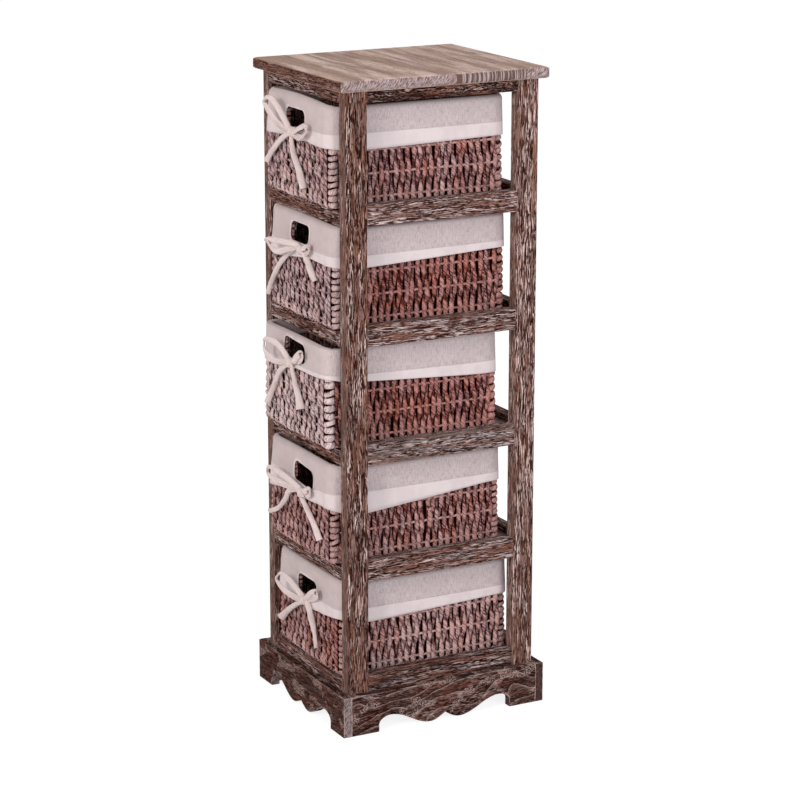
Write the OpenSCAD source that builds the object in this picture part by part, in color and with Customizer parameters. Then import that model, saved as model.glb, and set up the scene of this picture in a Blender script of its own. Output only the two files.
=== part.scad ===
// Tall, narrow chest of drawers: an open frame of posts and rails on a scalloped plinth, with five woven
// baskets that slide out to the front. X runs across the front, Y to the back and Z up from the floor.

/* [Frame] */
// Width of the frame over its posts
frame_w = 250; // [230:1:320]
// Depth of the frame over its posts
frame_d = 290; // [270:1:360]
// Underside of the lowest rails above the floor
floor_to_rail = 52; // [48:1:80]
// Height from one level of rails to the next
bay_pitch = 163.2; // [150:0.1:200]
// Width of a post, across the front
post_w = 18; // [16:0.5:26]
// Depth of a post, along the side
post_d = 32; // [26:0.5:40]
// Rounding of the long edges of posts and rails
ease_r = 1.2; // [0.5:0.1:2]

/* [Rails] */
// Thickness of the rails and aprons
rail_t = 18; // [16:0.5:24]
// Height of the side and rear rails
side_rail_h = 29; // [27:0.5:40]
// Height of the front rails, which the baskets slide over
front_rail_h = 20; // [16:0.5:24]
// Height of the aprons under the top
apron_h = 16; // [14:0.5:24]
// Thickness of a shelf panel
shelf_t = 4; // [3:0.5:6]
// Depth of the grooves that hold the shelf panels
groove_deep = 5; // [3:0.5:7]
// Clearance above a shelf panel in its groove
groove_gap = 0.3; // [0.2:0.1:0.6]
// Clearance round the edges of a shelf panel
shelf_edge_gap = 0.5; // [0.3:0.1:1]

/* [Top] */
// Thickness of the top board
top_t = 16; // [15:0.5:24]
// Overhang of the top board beyond the posts
top_over = 11.5; // [6:0.5:30]
// Rounding of the top board's upper and lower edges
top_edge_r = 6.5; // [2:0.5:7]
// Rounding of the top board's corners in plan
top_corner_r = 5; // [2:0.5:20]

/* [Plinth] */
// Thickness of the plinth boards
plinth_t = 12; // [10:0.5:18]
// Height of the plinth boards
plinth_h = 57; // [52:1:80]
// Length of each foot along its board
foot_l = 42; // [30:1:50]
// Height of the straight inner edge of a foot
foot_edge_h = 10; // [4:0.5:14]
// Run of the cove from the foot to the crown of the arch
cove_run = 18; // [10:1:24]
// Height of the arches above the floor
arch_h = 22; // [16:0.5:30]
// Lowest points of the lobes, measured from the middle of the board
lobe_x = 23; // [14:0.5:30]
// Clearance of the lobes above the floor
lobe_z = 1; // [0.5:0.5:8]
// Height of the notch between the two lobes
notch_h = 11; // [9:0.5:15]

/* [Fastenings] */
// Diameter of the dowels
dowel_d = 6; // [5:0.5:8]
// Length of a dowel, half of it in each piece
dowel_l = 26; // [20:1:28]
// Clearance of a dowel's hole on its diameter
dowel_gap = 0.2; // [0.1:0.05:0.4]
// Distance of the dowels in a tall rail from its edges
dowel_inset = 7.5; // [6:0.5:10]
// Diameter of the shank of the top's screws
screw_d = 4; // [3:0.5:5]
// Diameter of the screws' heads
screw_head_d = 8; // [7:0.5:9]
// Height of the screws' countersunk heads
screw_head_h = 3; // [2:0.5:4]
// How far the screws reach up into the top board
screw_reach = 9; // [6:0.5:11]
// Clearance of a screw's hole on its diameter
screw_gap = 0.2; // [0.1:0.05:0.4]
// Distance between the two screws of a side apron
screw_spacing = 130; // [80:5:180]

/* [Baskets] */
// Thickness of the woven walls
wall_t = 6; // [4:0.5:9]
// Thickness of the woven floor
basket_floor_t = 5; // [3:0.5:8]
// Rounding of the baskets' upright corners
basket_corner_r = 9; // [6:0.5:20]
// How far the front of a basket bows out
front_bow = 2.5; // [1:0.5:8]
// How far the rear of a basket bows out
rear_bow = 2; // [1:0.5:6]
// How far the sides of a basket bow out
side_bow = 2; // [1:0.5:3]
// How much each side draws in towards the floor
side_taper = 2; // [1:0.5:10]
// How much the rear draws in towards the floor
rear_taper = 2.5; // [1:0.5:14]
// Rounding of the edge round the basket's floor
basket_foot_r = 8; // [4:0.5:12]
// Rounding of the rim at the corners
rim_r = 10; // [4:0.5:14]
// Clearance under a basket on its shelf
slide_gap = 0.3; // [0.2:0.1:1]
// Clearance beside a basket's bowed side, on each side
side_gap = 2; // [1:0.5:5]
// Clearance over a basket
head_gap = 5; // [3:0.5:20]
// Clearance behind a basket that is pushed home
home_gap = 1; // [0.5:0.5:5]
// How far a basket that is pushed home stands back from the posts' front
home_recess = 1; // [0:0.5:20]

/* [Hand holes] */
// Width of the hand hole
hole_w = 58; // [45:1:80]
// Height of the hand hole
hole_h = 28; // [20:1:34]
// Rounding of the hand hole's corners
hole_r = 11; // [6:0.5:13]
// Distance of the hand hole below the cloth's upper edge
hole_drop = 12; // [11:0.5:20]
// How much larger the hole in the weave is than the hole in the cloth, all round
hole_margin = 1; // [0.5:0.5:3]

/* [Liners] */
// Thickness of the cloth
cloth_t = 1.7; // [1:0.1:2.5]
// Clearance between the cloth and the weave
cloth_gap = 0.3; // [0.2:0.1:0.6]
// How far the cloth hangs down outside
flap_h = 53; // [48:1:70]
// How far the cloth hangs down inside
inner_flap_h = 27; // [20:1:40]
// How far the ribbon pulls up the cloth's lower edge
pull_up = 4; // [2:0.5:8]
// Half the width of the stretch that the ribbon pulls up
pull_half_w = 60; // [40:1:80]

/* [Ribbons] */
// Width of the ribbon
ribbon_w = 9; // [6:0.5:11]
// Thickness of the ribbon
ribbon_t = 1.5; // [1:0.1:2]
// Distance of the knot below the cloth's upper edge
knot_drop = 48; // [46:0.5:54]
// Thickness of the knot, from front to back and in height
knot_d = 12; // [11:0.5:14]
// Width of the knot across the front
knot_w = 11; // [10:0.5:14]
// Rounding of the knot
knot_r = 4; // [2:0.5:5]
// Length of a loop
loop_l = 44; // [35:1:50]
// Width of a loop
loop_w = 17; // [12:0.5:20]
// Length of the left tail
left_tail_l = 66; // [40:1:70]
// Length of the right tail
right_tail_l = 70; // [50:1:74]
// Direction of the left loop, counter-clockwise from the right, in degrees
left_loop_angle = 147; // [130:1:165]
// Direction of the right loop, in degrees
right_loop_angle = 18; // [5:1:40]
// Direction in which the left tail leaves the knot, in degrees
left_tail_start = 212; // [200:1:225]
// Direction of the left tail's end, in degrees
left_tail_end = 246; // [232:1:262]
// Direction in which the right tail leaves the knot, in degrees
right_tail_start = 292; // [280:1:300]
// Direction of the right tail's end, in degrees
right_tail_end = 304; // [290:1:315]
// How far the top basket's knot sits right of the middle
knot_1_x = 3; // [-20:1:20]
// How far the second basket's knot sits right of the middle
knot_2_x = 2; // [-20:1:20]
// How far the third basket's knot sits right of the middle
knot_3_x = 15; // [-20:1:20]
// How far the fourth basket's knot sits right of the middle
knot_4_x = 15; // [-20:1:20]
// How far the lowest basket's knot sits right of the middle
knot_5_x = -2; // [-20:1:20]

/* [Resting places] */
// How far the top basket is out of its home place
basket_1_out = 13; // [0:0.5:60]
// How far the second basket is out of its home place
basket_2_out = 9; // [0:0.5:60]
// How far the third basket is out of its home place
basket_3_out = 20.5; // [0:0.5:60]
// How far the fourth basket is out of its home place
basket_4_out = 14; // [0:0.5:60]
// How far the lowest basket is out of its home place
basket_5_out = 1.5; // [0:0.5:60]

/* [Hidden] */
baskets_out = [basket_1_out, basket_2_out, basket_3_out, basket_4_out, basket_5_out];
knots_x = [knot_1_x, knot_2_x, knot_3_x, knot_4_x, knot_5_x];
levels = len(baskets_out);
$fn = 48;
arc_steps = 6;

// Heights, from the floor up
apron_z = floor_to_rail + levels * bay_pitch;
post_top = apron_z + apron_h;
shelf_z = front_rail_h - shelf_t;
function level_z(level) = floor_to_rail + (levels - level) * bay_pitch;

// Lengths between the posts
front_rail_l = frame_w - 2 * post_w;
side_rail_l = frame_d - 2 * post_d;
screw_l = apron_h + screw_reach;

// Size of a basket's weave: its upright corners in plan, and the rim's height above its floor
cloth_out = cloth_gap + cloth_t;
bay_w = frame_w - 2 * max(post_w, rail_t);
basket_w = bay_w - 2 * (side_gap + side_bow + cloth_out);
basket_d = frame_d - rail_t - home_gap - home_recess - rear_bow - 2 * cloth_out;
basket_h = bay_pitch - front_rail_h - slide_gap - head_gap - cloth_out;
cloth_top = basket_h + cloth_out;
hole_z = cloth_top - hole_drop - hole_h / 2;
knot_z = cloth_top - knot_drop;

// Middle of a basket from the middle of the frame, with the basket pushed home
home_y = home_recess - frame_d / 2 + cloth_out + basket_d / 2;
basket_front = basket_d / 2 + front_bow + cloth_out;

// The frame's middle lies behind the origin, so that the origin is under the middle of the whole
front_reach = basket_front + cloth_gap + knot_d + max(baskets_out) - home_y;
rear_reach = frame_d / 2 + max(plinth_t, top_over);
frame_y = (front_reach - rear_reach) / 2;

function numbered(name) = [for (level = [1 : levels]) str(name, "_", level)];

// Plain shapes

module rounded_rect(w, h, r) {
    square([w - 2 * r, h], center = true);
    square([w, h - 2 * r], center = true);
    for (x = [-1, 1], y = [-1, 1])
        translate([x * (w / 2 - r), y * (h / 2 - r)]) circle(r);
}

// A flat shape drawn in X and Z, made l long along Y, centred
module along_y(l) rotate([90, 0, 0]) linear_extrude(l, center = true) children();

// A flat shape drawn in Y and Z, made l long along X, centred
module along_x(l) rotate([90, 0, 90]) linear_extrude(l, center = true) children();

module in_frame() translate([0, frame_y, 0]) children();

function arc(x, y, r, from, to) =
    [for (i = [0 : arc_steps]) let (a = from + (to - from) * i / arc_steps) [x + r * cos(a), y + r * sin(a)]];

// Where the dowels lie

// Heights of the dowels above a rail's underside
tall_rail_dowels = [dowel_inset, side_rail_h - dowel_inset];
front_rail_dowels = [front_rail_h / 2];
apron_dowels = [apron_h / 2];

// Heights of all dowels in a post, for the rails that run back from it and for those that run across
back_dowels = concat([for (k = [1 : levels], z = tall_rail_dowels) level_z(k) + z],
    [for (z = apron_dowels) apron_z + z]);
front_dowels = concat([for (k = [1 : levels], z = front_rail_dowels) level_z(k) + z],
    [for (z = apron_dowels) apron_z + z]);

// One side's dowels, at the post's inner face: d and l are the size of the dowel or of its hole
module dowels_back(d, l, heights, side, end)
    for (z = heights)
        translate([side * (frame_w / 2 - rail_t / 2), end * side_rail_l / 2, z])
            rotate([90, 0, 0]) cylinder(d = d, h = l, center = true);

module dowels_across(d, l, heights, side, end)
    for (z = heights)
        translate([side * front_rail_l / 2, end * (frame_d / 2 - rail_t / 2), z])
            rotate([0, 90, 0]) cylinder(d = d, h = l, center = true);

module dowels_at(d, l, side, end) {
    dowels_back(d, l, back_dowels, side, end);
    dowels_across(d, l, end < 0 ? front_dowels : back_dowels, side, end);
}

dowel_hole_d = dowel_d + dowel_gap;
dowel_hole_l = dowel_l + 2 * dowel_gap;

// Frame

module post(side, end)
    color("#6f574d") in_frame() difference() {
        translate([side * (frame_w - post_w) / 2, end * (frame_d - post_d) / 2, 0])
            linear_extrude(post_top) rounded_rect(post_w, post_d, ease_r);
        dowels_at(dowel_hole_d, dowel_hole_l, side, end);
    }

// A rail's section, lower edge on the X axis, with the groove or rebate for the shelf at its right
module rail_section(h, groove_h)
    difference() {
        translate([0, h / 2]) rounded_rect(rail_t, h, ease_r);
        translate([rail_t / 2 - groove_deep, shelf_z]) square([groove_deep + 1, groove_h]);
    }

module front_rail(level)
    color("#6a5148") in_frame() difference() {
        translate([0, (rail_t - frame_d) / 2, level_z(level)])
            along_x(front_rail_l) rail_section(front_rail_h, shelf_t + 1);
        for (side = [-1, 1]) dowels_across(dowel_hole_d, dowel_hole_l, front_dowels, side, -1);
    }

module rear_rail(level)
    color("#6f574d") in_frame() difference() {
        translate([0, (frame_d - rail_t) / 2, level_z(level)])
            along_x(front_rail_l) mirror([1, 0]) rail_section(side_rail_h, shelf_t + groove_gap);
        for (side = [-1, 1]) dowels_across(dowel_hole_d, dowel_hole_l, back_dowels, side, 1);
    }

module side_rail(level, side)
    color("#6f574d") in_frame() difference() {
        translate([side * (frame_w - rail_t) / 2, 0, level_z(level)])
            along_y(side_rail_l) scale([-side, 1]) rail_section(side_rail_h, shelf_t + groove_gap);
        for (end = [-1, 1]) dowels_back(dowel_hole_d, dowel_hole_l, back_dowels, side, end);
    }

// A shelf fills the bay between its rails and is notched round the posts
module shelf(level)
    color("#8a7263") in_frame() translate([0, 0, level_z(level) + shelf_z]) linear_extrude(shelf_t) {
        square([frame_w - 2 * rail_t + 2 * (groove_deep - shelf_edge_gap),
            side_rail_l - 2 * shelf_edge_gap], center = true);
        square([front_rail_l - 2 * shelf_edge_gap,
            frame_d - 2 * rail_t + 2 * (groove_deep - shelf_edge_gap)], center = true);
    }

module apron_across(end)
    color("#6a5148") in_frame() difference() {
        translate([0, end * (frame_d - rail_t) / 2, apron_z + apron_h / 2])
            along_x(front_rail_l) rounded_rect(rail_t, apron_h, ease_r);
        for (side = [-1, 1]) dowels_across(dowel_hole_d, dowel_hole_l, [apron_z + apron_h / 2], side, end);
    }

module apron_back(side)
    color("#6a5148") in_frame() difference() {
        translate([side * (frame_w - rail_t) / 2, 0, apron_z + apron_h / 2])
            along_y(side_rail_l) rounded_rect(rail_t, apron_h, ease_r);
        for (end = [-1, 1]) dowels_back(dowel_hole_d, dowel_hole_l, [apron_z + apron_h / 2], side, end);
        screws_at(side, screw_gap);
    }

// A countersunk screw with its point up; grow makes the hole for it
module screw(grow)
    rotate_extrude() polygon([
        [0, 0], [screw_head_d / 2 + grow, 0], [screw_d / 2 + grow, screw_head_h + grow],
        [screw_d / 2 + grow, screw_l - screw_d / 2], [0, screw_l + grow]]);

module screws_at(side, gap)
    for (end = [-1, 1])
        translate([side * (frame_w - rail_t) / 2, end * screw_spacing / 2, apron_z]) screw(gap / 2);

module top_screws()
    color("#9a9a98") in_frame() for (side = [-1, 1]) screws_at(side, 0);

module rail_dowels()
    color("#c9a777") in_frame() for (side = [-1, 1], end = [-1, 1]) dowels_at(dowel_d, dowel_l, side, end);

// The top board: its section both ways and its plan are rounded
module top_board() {
    w = frame_w + 2 * top_over;
    d = frame_d + 2 * top_over;
    color("#a08a7a") in_frame() translate([0, 0, post_top]) difference() {
        intersection() {
            linear_extrude(top_t) rounded_rect(w, d, top_corner_r);
            translate([0, 0, top_t / 2]) along_x(w + 1) rounded_rect(d, top_t, top_edge_r);
            translate([0, 0, top_t / 2]) along_y(d + 1) rounded_rect(w, top_t, top_edge_r);
        }
        translate([0, 0, -post_top]) for (side = [-1, 1]) screws_at(side, screw_gap);
    }
}

// Plinth

wave_steps = 14;
lobe_steps = 7;

// Lower edge of half a board, from the notch in the middle out to the foot's corner: a quarter sine down
// to the lobe, half a cosine up to the arch's crown, and a quarter ellipse down to the foot
function scallop(half) =
    let (inner = half - foot_l, crown = inner - cove_run)
    concat(
        [for (i = [0 : lobe_steps]) let (t = i / lobe_steps)
            [lobe_x * t, lobe_z + (notch_h - lobe_z) * (1 - sin(90 * t))]],
        [for (i = [1 : wave_steps]) let (t = i / wave_steps)
            [lobe_x + (crown - lobe_x) * t, lobe_z + (arch_h - lobe_z) * (1 - cos(180 * t)) / 2]],
        [for (i = [1 : lobe_steps]) let (a = 90 - 90 * i / lobe_steps)
            [crown + cove_run * cos(a), foot_edge_h + (arch_h - foot_edge_h) * sin(a)]],
        [[inner, 0], [half, 0]]);

function mirrored(points) = [for (i = [len(points) - 1 : -1 : 1]) [-points[i][0], points[i][1]]];

// A board that stands l long along X, its outer face towards -Y
module plinth_board(l) {
    edge = scallop(l / 2);
    intersection() {
        along_y(plinth_t) polygon(concat([[-l / 2, plinth_h]], mirrored(edge), edge, [[l / 2, plinth_h]]));
        translate([0, 0, plinth_h / 2 - 1]) along_x(l + 1) rounded_rect(plinth_t, plinth_h + 2, ease_r);
    }
}

module plinth_across(end)
    color("#52403a") in_frame() translate([0, end * (frame_d + plinth_t) / 2, 0])
        plinth_board(frame_w + 2 * plinth_t);

module plinth_back(side)
    color("#52403a") in_frame() translate([side * (frame_w + plinth_t) / 2, 0, 0])
        rotate([0, 0, 90]) plinth_board(frame_d);

// Baskets

// A segment of a circle that stands on the X axis
module bowed_edge(chord, rise) {
    r = (chord * chord / 4 + rise * rise) / (2 * rise);
    intersection() {
        translate([0, rise - r]) circle(r, $fn = 360);
        translate([-chord / 2, -1]) square([chord, rise + 2]);
    }
}

// A basket's plan with bowed edges, made larger or smaller all round by grow
module basket_plan(grow) {
    w = basket_w + 2 * grow;
    d = basket_d + 2 * grow;
    r = max(basket_corner_r + grow, 1);
    rounded_rect(w, d, r);
    translate([0, -d / 2]) mirror([0, 1]) bowed_edge(w - 2 * r, front_bow);
    translate([0, d / 2]) bowed_edge(w - 2 * r, rear_bow);
    translate([w / 2, 0]) rotate(-90) bowed_edge(d - 2 * r, side_bow);
    translate([-w / 2, 0]) rotate(90) bowed_edge(d - 2 * r, side_bow);
}

// An upright section of a basket: its two sides stand at a and b, and draw in towards the floor
function basket_section(a, b, taper_a, taper_b, bottom, top, foot_r, top_r) = concat(
    arc(a + taper_a + foot_r, bottom + foot_r, foot_r, 180, 270),
    arc(b - taper_b - foot_r, bottom + foot_r, foot_r, 270, 360),
    arc(b - top_r, top - top_r, top_r, 0, 90),
    arc(a + top_r, top - top_r, top_r, 90, 180));

// The closed outer form of a basket, its middle at the origin; grow moves the sides out
module basket_form(grow, bottom, top, top_r) {
    half_w = basket_w / 2 + side_bow + grow;
    front = -basket_d / 2 - front_bow - grow;
    rear = basket_d / 2 + rear_bow + grow;
    foot_r = max(basket_foot_r + grow, 1);
    intersection() {
        translate([0, 0, bottom]) linear_extrude(top - bottom) basket_plan(grow);
        along_y(2 * basket_d) polygon(basket_section(-half_w, half_w, side_taper, side_taper,
            bottom, top, foot_r, top_r));
        along_x(2 * basket_w) polygon(basket_section(front, rear, 0, rear_taper, bottom, top, foot_r, top_r));
    }
}

// The space inside a basket or its cloth, open upwards
module basket_room(grow, bottom) basket_form(grow, bottom, basket_h + 2 * rim_r, 1);

module hand_hole(margin)
    translate([0, -basket_d / 2, hole_z]) along_y(6 * wall_t)
        rounded_rect(hole_w + 2 * margin, hole_h + 2 * margin, hole_r + margin);

// Puts a basket or what goes with it into its bay, as far out as it stands at rest
module in_bay(level)
    in_frame() translate([0, home_y - baskets_out[level - 1], level_z(level) + front_rail_h + slide_gap])
        children();

module basket(level)
    color(level % 2 == 0 ? "#7d5650" : "#8b6c66") in_bay(level) difference() {
        basket_form(0, 0, basket_h, rim_r);
        basket_room(-wall_t, basket_floor_t);
        hand_hole(hole_margin);
    }

// The cloth is folded over the rim and hangs down outside and, less far, inside
module liner(level)
    color("#d9cfcc") in_bay(level) difference() {
        basket_form(cloth_out, 0, cloth_top, rim_r + cloth_out);
        difference() {
            basket_form(cloth_gap, -1, basket_h + cloth_gap, rim_r + cloth_gap);
            basket_room(-wall_t - cloth_gap, -2);
        }
        basket_room(-wall_t - cloth_out, -2);
        translate([0, 0, -1]) linear_extrude(basket_h - inner_flap_h + 1) basket_plan(-wall_t / 2);
        translate([-basket_w, -basket_d, -1]) cube([2 * basket_w, 2 * basket_d, cloth_top - flap_h + 1]);
        translate([0, -basket_d / 2, cloth_top - flap_h]) along_y(6 * wall_t)
            bowed_edge(2 * pull_half_w, pull_up);
        hand_hole(0);
    }

// Ribbons

loop_steps = 20;

// Outline of a loop, pointed at the knot: u runs from 0 to l and back, v swings out to half of w
function loop_outline(l, w, inset) = [for (i = [0 : loop_steps - 1]) let (a = 360 * (i + 0.5) / loop_steps)
    [inset + (l - 2 * inset) * (1 - cos(a)) / 2, (w - 2 * inset) * 0.77 * sin(a) * pow(sin(a / 2), 2)]];

// A loop lies on edge, with its opening seen from the front
module ribbon_loop(angle)
    rotate([0, -angle, 0]) along_y(ribbon_w) difference() {
        polygon(loop_outline(loop_l, loop_w, 0));
        polygon(loop_outline(loop_l, loop_w, ribbon_t));
    }

// A tail hangs flat in a gentle bend: its middle line turns from one angle to the other
tail_steps = 8;
function tail_line(l, from, to, n) = n == 0 ? [0, 0] :
    tail_line(l, from, to, n - 1)
        + l / tail_steps * [cos(from + (to - from) * (n - 0.5) / tail_steps),
            sin(from + (to - from) * (n - 0.5) / tail_steps)];
function tail_side(l, from, to, half) = [for (n = [0 : tail_steps])
    let (a = from + (to - from) * n / tail_steps, spread = 0.45 + 0.55 * min(1, 2.5 * n / tail_steps))
    tail_line(l, from, to, n) + half * spread * [-sin(a), cos(a)]];
module ribbon_tail(l, from, to) {
    left = tail_side(l, from, to, ribbon_w / 2);
    right = tail_side(l, from, to, -ribbon_w / 2);
    along_y(ribbon_t) polygon(concat(left, [for (n = [tail_steps : -1 : 0]) right[n]]));
}

module ribbon(level)
    color("#e6dcda") in_bay(level)
    translate([knots_x[level - 1], -basket_front - cloth_gap - knot_d / 2, knot_z]) {
        along_x(knot_w) rounded_rect(knot_d, knot_d, knot_r);
        ribbon_loop(left_loop_angle);
        ribbon_loop(right_loop_angle);
        translate([0, (knot_d - ribbon_t) / 2, 0]) {
            ribbon_tail(left_tail_l, left_tail_start, left_tail_end);
            ribbon_tail(right_tail_l, right_tail_start, right_tail_end);
        }
    }

// The whole

top_board();
top_screws();
rail_dowels();
post(-1, -1);  // post_front_left
post(1, -1);  // post_front_right
post(-1, 1);  // post_rear_left
post(1, 1);  // post_rear_right
apron_across(-1);  // apron_front
apron_across(1);  // apron_rear
apron_back(-1);  // apron_left
apron_back(1);  // apron_right
plinth_across(-1);  // plinth_front
plinth_across(1);  // plinth_rear
plinth_back(-1);  // plinth_left
plinth_back(1);  // plinth_right
for (level = [1 : levels]) {
    front_rail(level);
    rear_rail(level);
    side_rail(level, -1);
    side_rail(level, 1);
    shelf(level);
    basket(level);
    liner(level);
    ribbon(level);
}
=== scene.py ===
"""Looks of a tall, narrow chest: a limed wooden frame with five woven basket drawers, cloth liners and ribbon bows.

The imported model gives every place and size. The frame's nodes keep their shapes and get their finishes here. Each
basket, liner and ribbon is worked out as surfaces in the basket's own millimetres, X to the right, Y to the back
and Z up from its underside, and is then moved to where its node stands.
"""

import math
from collections import namedtuple

import bpy
import numpy as np
from bpy.props import FloatProperty, FloatVectorProperty, IntProperty, PointerProperty
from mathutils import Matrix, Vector


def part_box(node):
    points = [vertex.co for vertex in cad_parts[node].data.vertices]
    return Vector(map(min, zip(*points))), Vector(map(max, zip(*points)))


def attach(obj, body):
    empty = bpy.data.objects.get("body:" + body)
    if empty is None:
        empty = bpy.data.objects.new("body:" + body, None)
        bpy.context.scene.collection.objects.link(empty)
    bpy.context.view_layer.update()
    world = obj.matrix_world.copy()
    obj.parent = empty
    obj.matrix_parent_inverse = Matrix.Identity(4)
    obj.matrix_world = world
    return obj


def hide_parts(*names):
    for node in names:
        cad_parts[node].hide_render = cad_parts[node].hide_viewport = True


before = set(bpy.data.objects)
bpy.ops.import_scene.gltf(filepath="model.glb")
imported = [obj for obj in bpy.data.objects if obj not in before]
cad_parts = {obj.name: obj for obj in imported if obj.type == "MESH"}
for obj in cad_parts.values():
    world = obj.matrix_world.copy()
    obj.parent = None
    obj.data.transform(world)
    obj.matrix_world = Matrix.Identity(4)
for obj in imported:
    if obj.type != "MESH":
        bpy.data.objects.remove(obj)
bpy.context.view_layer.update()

bl_info = {
    "name": "Basket Chest",
    "version": (1, 0, 0),
    "blender": (4, 5, 0),
    "location": "3D View > Sidebar > Chest",
    "description": "Finishes a tall wooden chest with woven basket drawers",
    "category": "Object",
}

MM = 0.001
LEVELS = range(1, 1 + sum(name.startswith("basket_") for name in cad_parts))


def linear(hex_colour):
    """An sRGB hex colour as linear red, green, blue and alpha."""
    parts = [int(hex_colour[i:i + 2], 16) / 255 for i in (1, 3, 5)]
    return tuple(c / 12.92 if c <= 0.04045 else ((c + 0.055) / 1.055) ** 2.4 for c in parts) + (1.0,)


def colour(name, hex_colour, description):
    """A colour property whose default is an sRGB hex colour."""
    return FloatVectorProperty(name=name, description=description, subtype="COLOR", size=4, min=0, max=1,
                               default=linear(hex_colour))


def length(name, millimetres, description):
    """A length property whose default is given in millimetres."""
    return FloatProperty(name=name, description=description, default=millimetres * MM, min=0, unit="LENGTH")


class ChestWood(bpy.types.PropertyGroup):
    """Colours and sizes of the frame's wood"""
    body: colour("Wood", "#68463c", "Stained wood of the posts and rails")
    warm: colour("Warm wood", "#8a5d4c", "Reddish patches where the stain is thin")
    late: colour("Late wood", "#280c06", "Dark lines of the year rings")
    pore: colour("Pores", "#170806", "Open pores")
    # Edge colour: rubbed-through wear, and a painted highlight along the edges
    lime: colour("Lime", "#d8c0b8", "Lime paste left in the brushed grain")
    worn_highlit: colour("Worn edge", "#a06f5c", "Edges that were rubbed through")
    top: colour("Top", "#b4978a", "Paler stain of the top board")
    top_light: colour("Top, light streaks", "#efd3c5", "Pale streaks of the top board")
    top_dark: colour("Top, late wood", "#866b5f", "Year rings of the top board")
    plinth: colour("Plinth", "#3a2019", "Darker stain of the plinth")
    plinth_warm: colour("Plinth, warm wood", "#653b2c", "Reddish patches of the plinth")
    shelf: colour("Shelf", "#a9938a", "Thin shelf panels")
    ring_pitch: length("Year ring", 9, "Width of a year ring")
    plank_w: length("Plank", 87, "Width of the planks that the top is glued up from")


class ChestWeave(bpy.types.PropertyGroup):
    """Colours, pitches and widths of the baskets' cords"""
    front: colour("Front weave", "#b39699", "Dyed grass cord of the front and rear")
    side: colour("Side weave", "#884d43", "Dyed grass cord of the sides")
    straw: colour("Straw", "#b5654a", "Cords that took less dye")
    grey: colour("Greyed cord", "#8a6870", "Cords with a bloom of grey dye")
    # Gaps: painted shade in the hollows between the cords and in the furrows between their fibres; it also darkens
    # the darker floats
    gap: colour("Gaps", "#260000", "Dye and dust in the hollows between the cords")
    side_pitch: length("Side cords", 5.3, "Distance from one cord to the next on the sides")
    front_pitch: length("Front cords", 7.0, "Distance from one cord to the next on the front and rear")
    side_rows: length("Side rows", 31.5, "Distance between the stakes of the sides")
    front_rows: length("Front rows", 19, "Distance between the stakes of the front and rear")
    side_cord: length("Side cord width", 7.9, "Width of a side cord at the middle of a float")
    front_cord: length("Front cord width", 11.2, "Width of a front cord at the middle of a float")
    knuckle_pitch: length("Knuckles", 8.7, "Distance from one knuckle to the next on a corner")
    seed: IntProperty(name="Seed", description="Choice of the cords' unevenness", default=7, min=0)


class ChestLiner(bpy.types.PropertyGroup):
    """Colours and sizes of the cloth liners"""
    cloth: colour("Cloth", "#cdbfbd", "Unbleached cotton")
    slub: colour("Slubs", "#9d9096", "Thicker and darker threads")
    hem: colour("Hem", "#e2d6d5", "Doubled cloth of the hem")
    flap_h: length("Flap", 53, "How far the cloth hangs down outside")
    inner_flap_h: length("Inner flap", 27, "How far the cloth hangs down inside")
    hem_h: length("Hem height", 11.5, "Height of the hem")
    thickness: length("Thickness", 0.9, "Thickness of the cloth")
    hole_r: length("Hand hole corners", 11, "Rounding of the hand hole")


class ChestRibbon(bpy.types.PropertyGroup):
    """Colour and size of the ribbons' tape"""
    ribbon: colour("Ribbon", "#e6d7d3", "Cotton tape")
    width: length("Width", 10.5, "Width of the tape")
    thickness: length("Thickness", 0.7, "Thickness of the tape")


class ChestStage(bpy.types.PropertyGroup):
    """Camera and floor"""
    place: FloatVectorProperty(name="Camera", description="Camera's place from the middle of the frame's foot",
                               subtype="TRANSLATION", unit="LENGTH", default=(3.2766, -1.7193, 1.4047))
    turn: FloatProperty(name="Turn", description="Camera's heading to the left of the rear", subtype="ANGLE",
                        default=math.radians(62.3))
    tilt: FloatProperty(name="Tilt", description="Camera's angle below level", subtype="ANGLE",
                        default=math.radians(14.8))
    lens: FloatProperty(name="Lens", description="Focal length in millimetres on a 36 mm sensor", default=123.5)
    floor: colour("Floor", "#f6f6f6", "Pale studio floor")


# Nodes of materials

# The setting of a node that may follow its kind's name
MODES = {"Math": "operation", "VectorMath": "operation", "Mix": "data_type", "MapRange": "interpolation_type",
         "Attribute": "attribute_name", "UVMap": "uv_map"}


def add(tree, kind, *inputs, **settings):
    """Adds a node. kind is its name, and after a space the setting that MODES gives for it, as in "Math ADD".
    inputs go to its usable inputs in order, and settings to its properties or inputs of that name, with _ for a
    space. Each input may be a value, another node's output, or another node, which stands for its first usable
    output."""
    kind, _, mode = kind.partition(" ")
    made = tree.nodes.new("ShaderNode" + kind)
    if mode:
        setattr(made, MODES[kind], mode)
    usable = [socket for socket in made.inputs if socket.enabled]
    values = [(usable[i], value) for i, value in enumerate(inputs)]
    for key, value in settings.items():
        if hasattr(made, key):
            setattr(made, key, value)
        else:
            values.append((made.inputs[key.replace("_", " ")], value))
    for socket, value in values:
        if isinstance(value, bpy.types.Node):
            value = next(output for output in value.outputs if output.enabled)
        if isinstance(value, bpy.types.NodeSocket):
            tree.links.new(value, socket)
        else:
            socket.default_value = value
    return made


def new_material(name):
    """An empty material and its node tree."""
    made = bpy.data.materials.new(name)
    made.use_nodes = True
    made.node_tree.nodes.clear()
    return made, made.node_tree


def finished(tree, tint, height=None, relief=0.3, **settings):
    """Ends a material in a Principled shader; height is bumped by relief millimetres."""
    if height is not None:
        settings["Normal"] = add(tree, "Bump", Height=height, Distance=relief * MM, Strength=1.0)
    add(tree, "OutputMaterial", add(tree, "BsdfPrincipled", Base_Color=tint, **settings))


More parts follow.
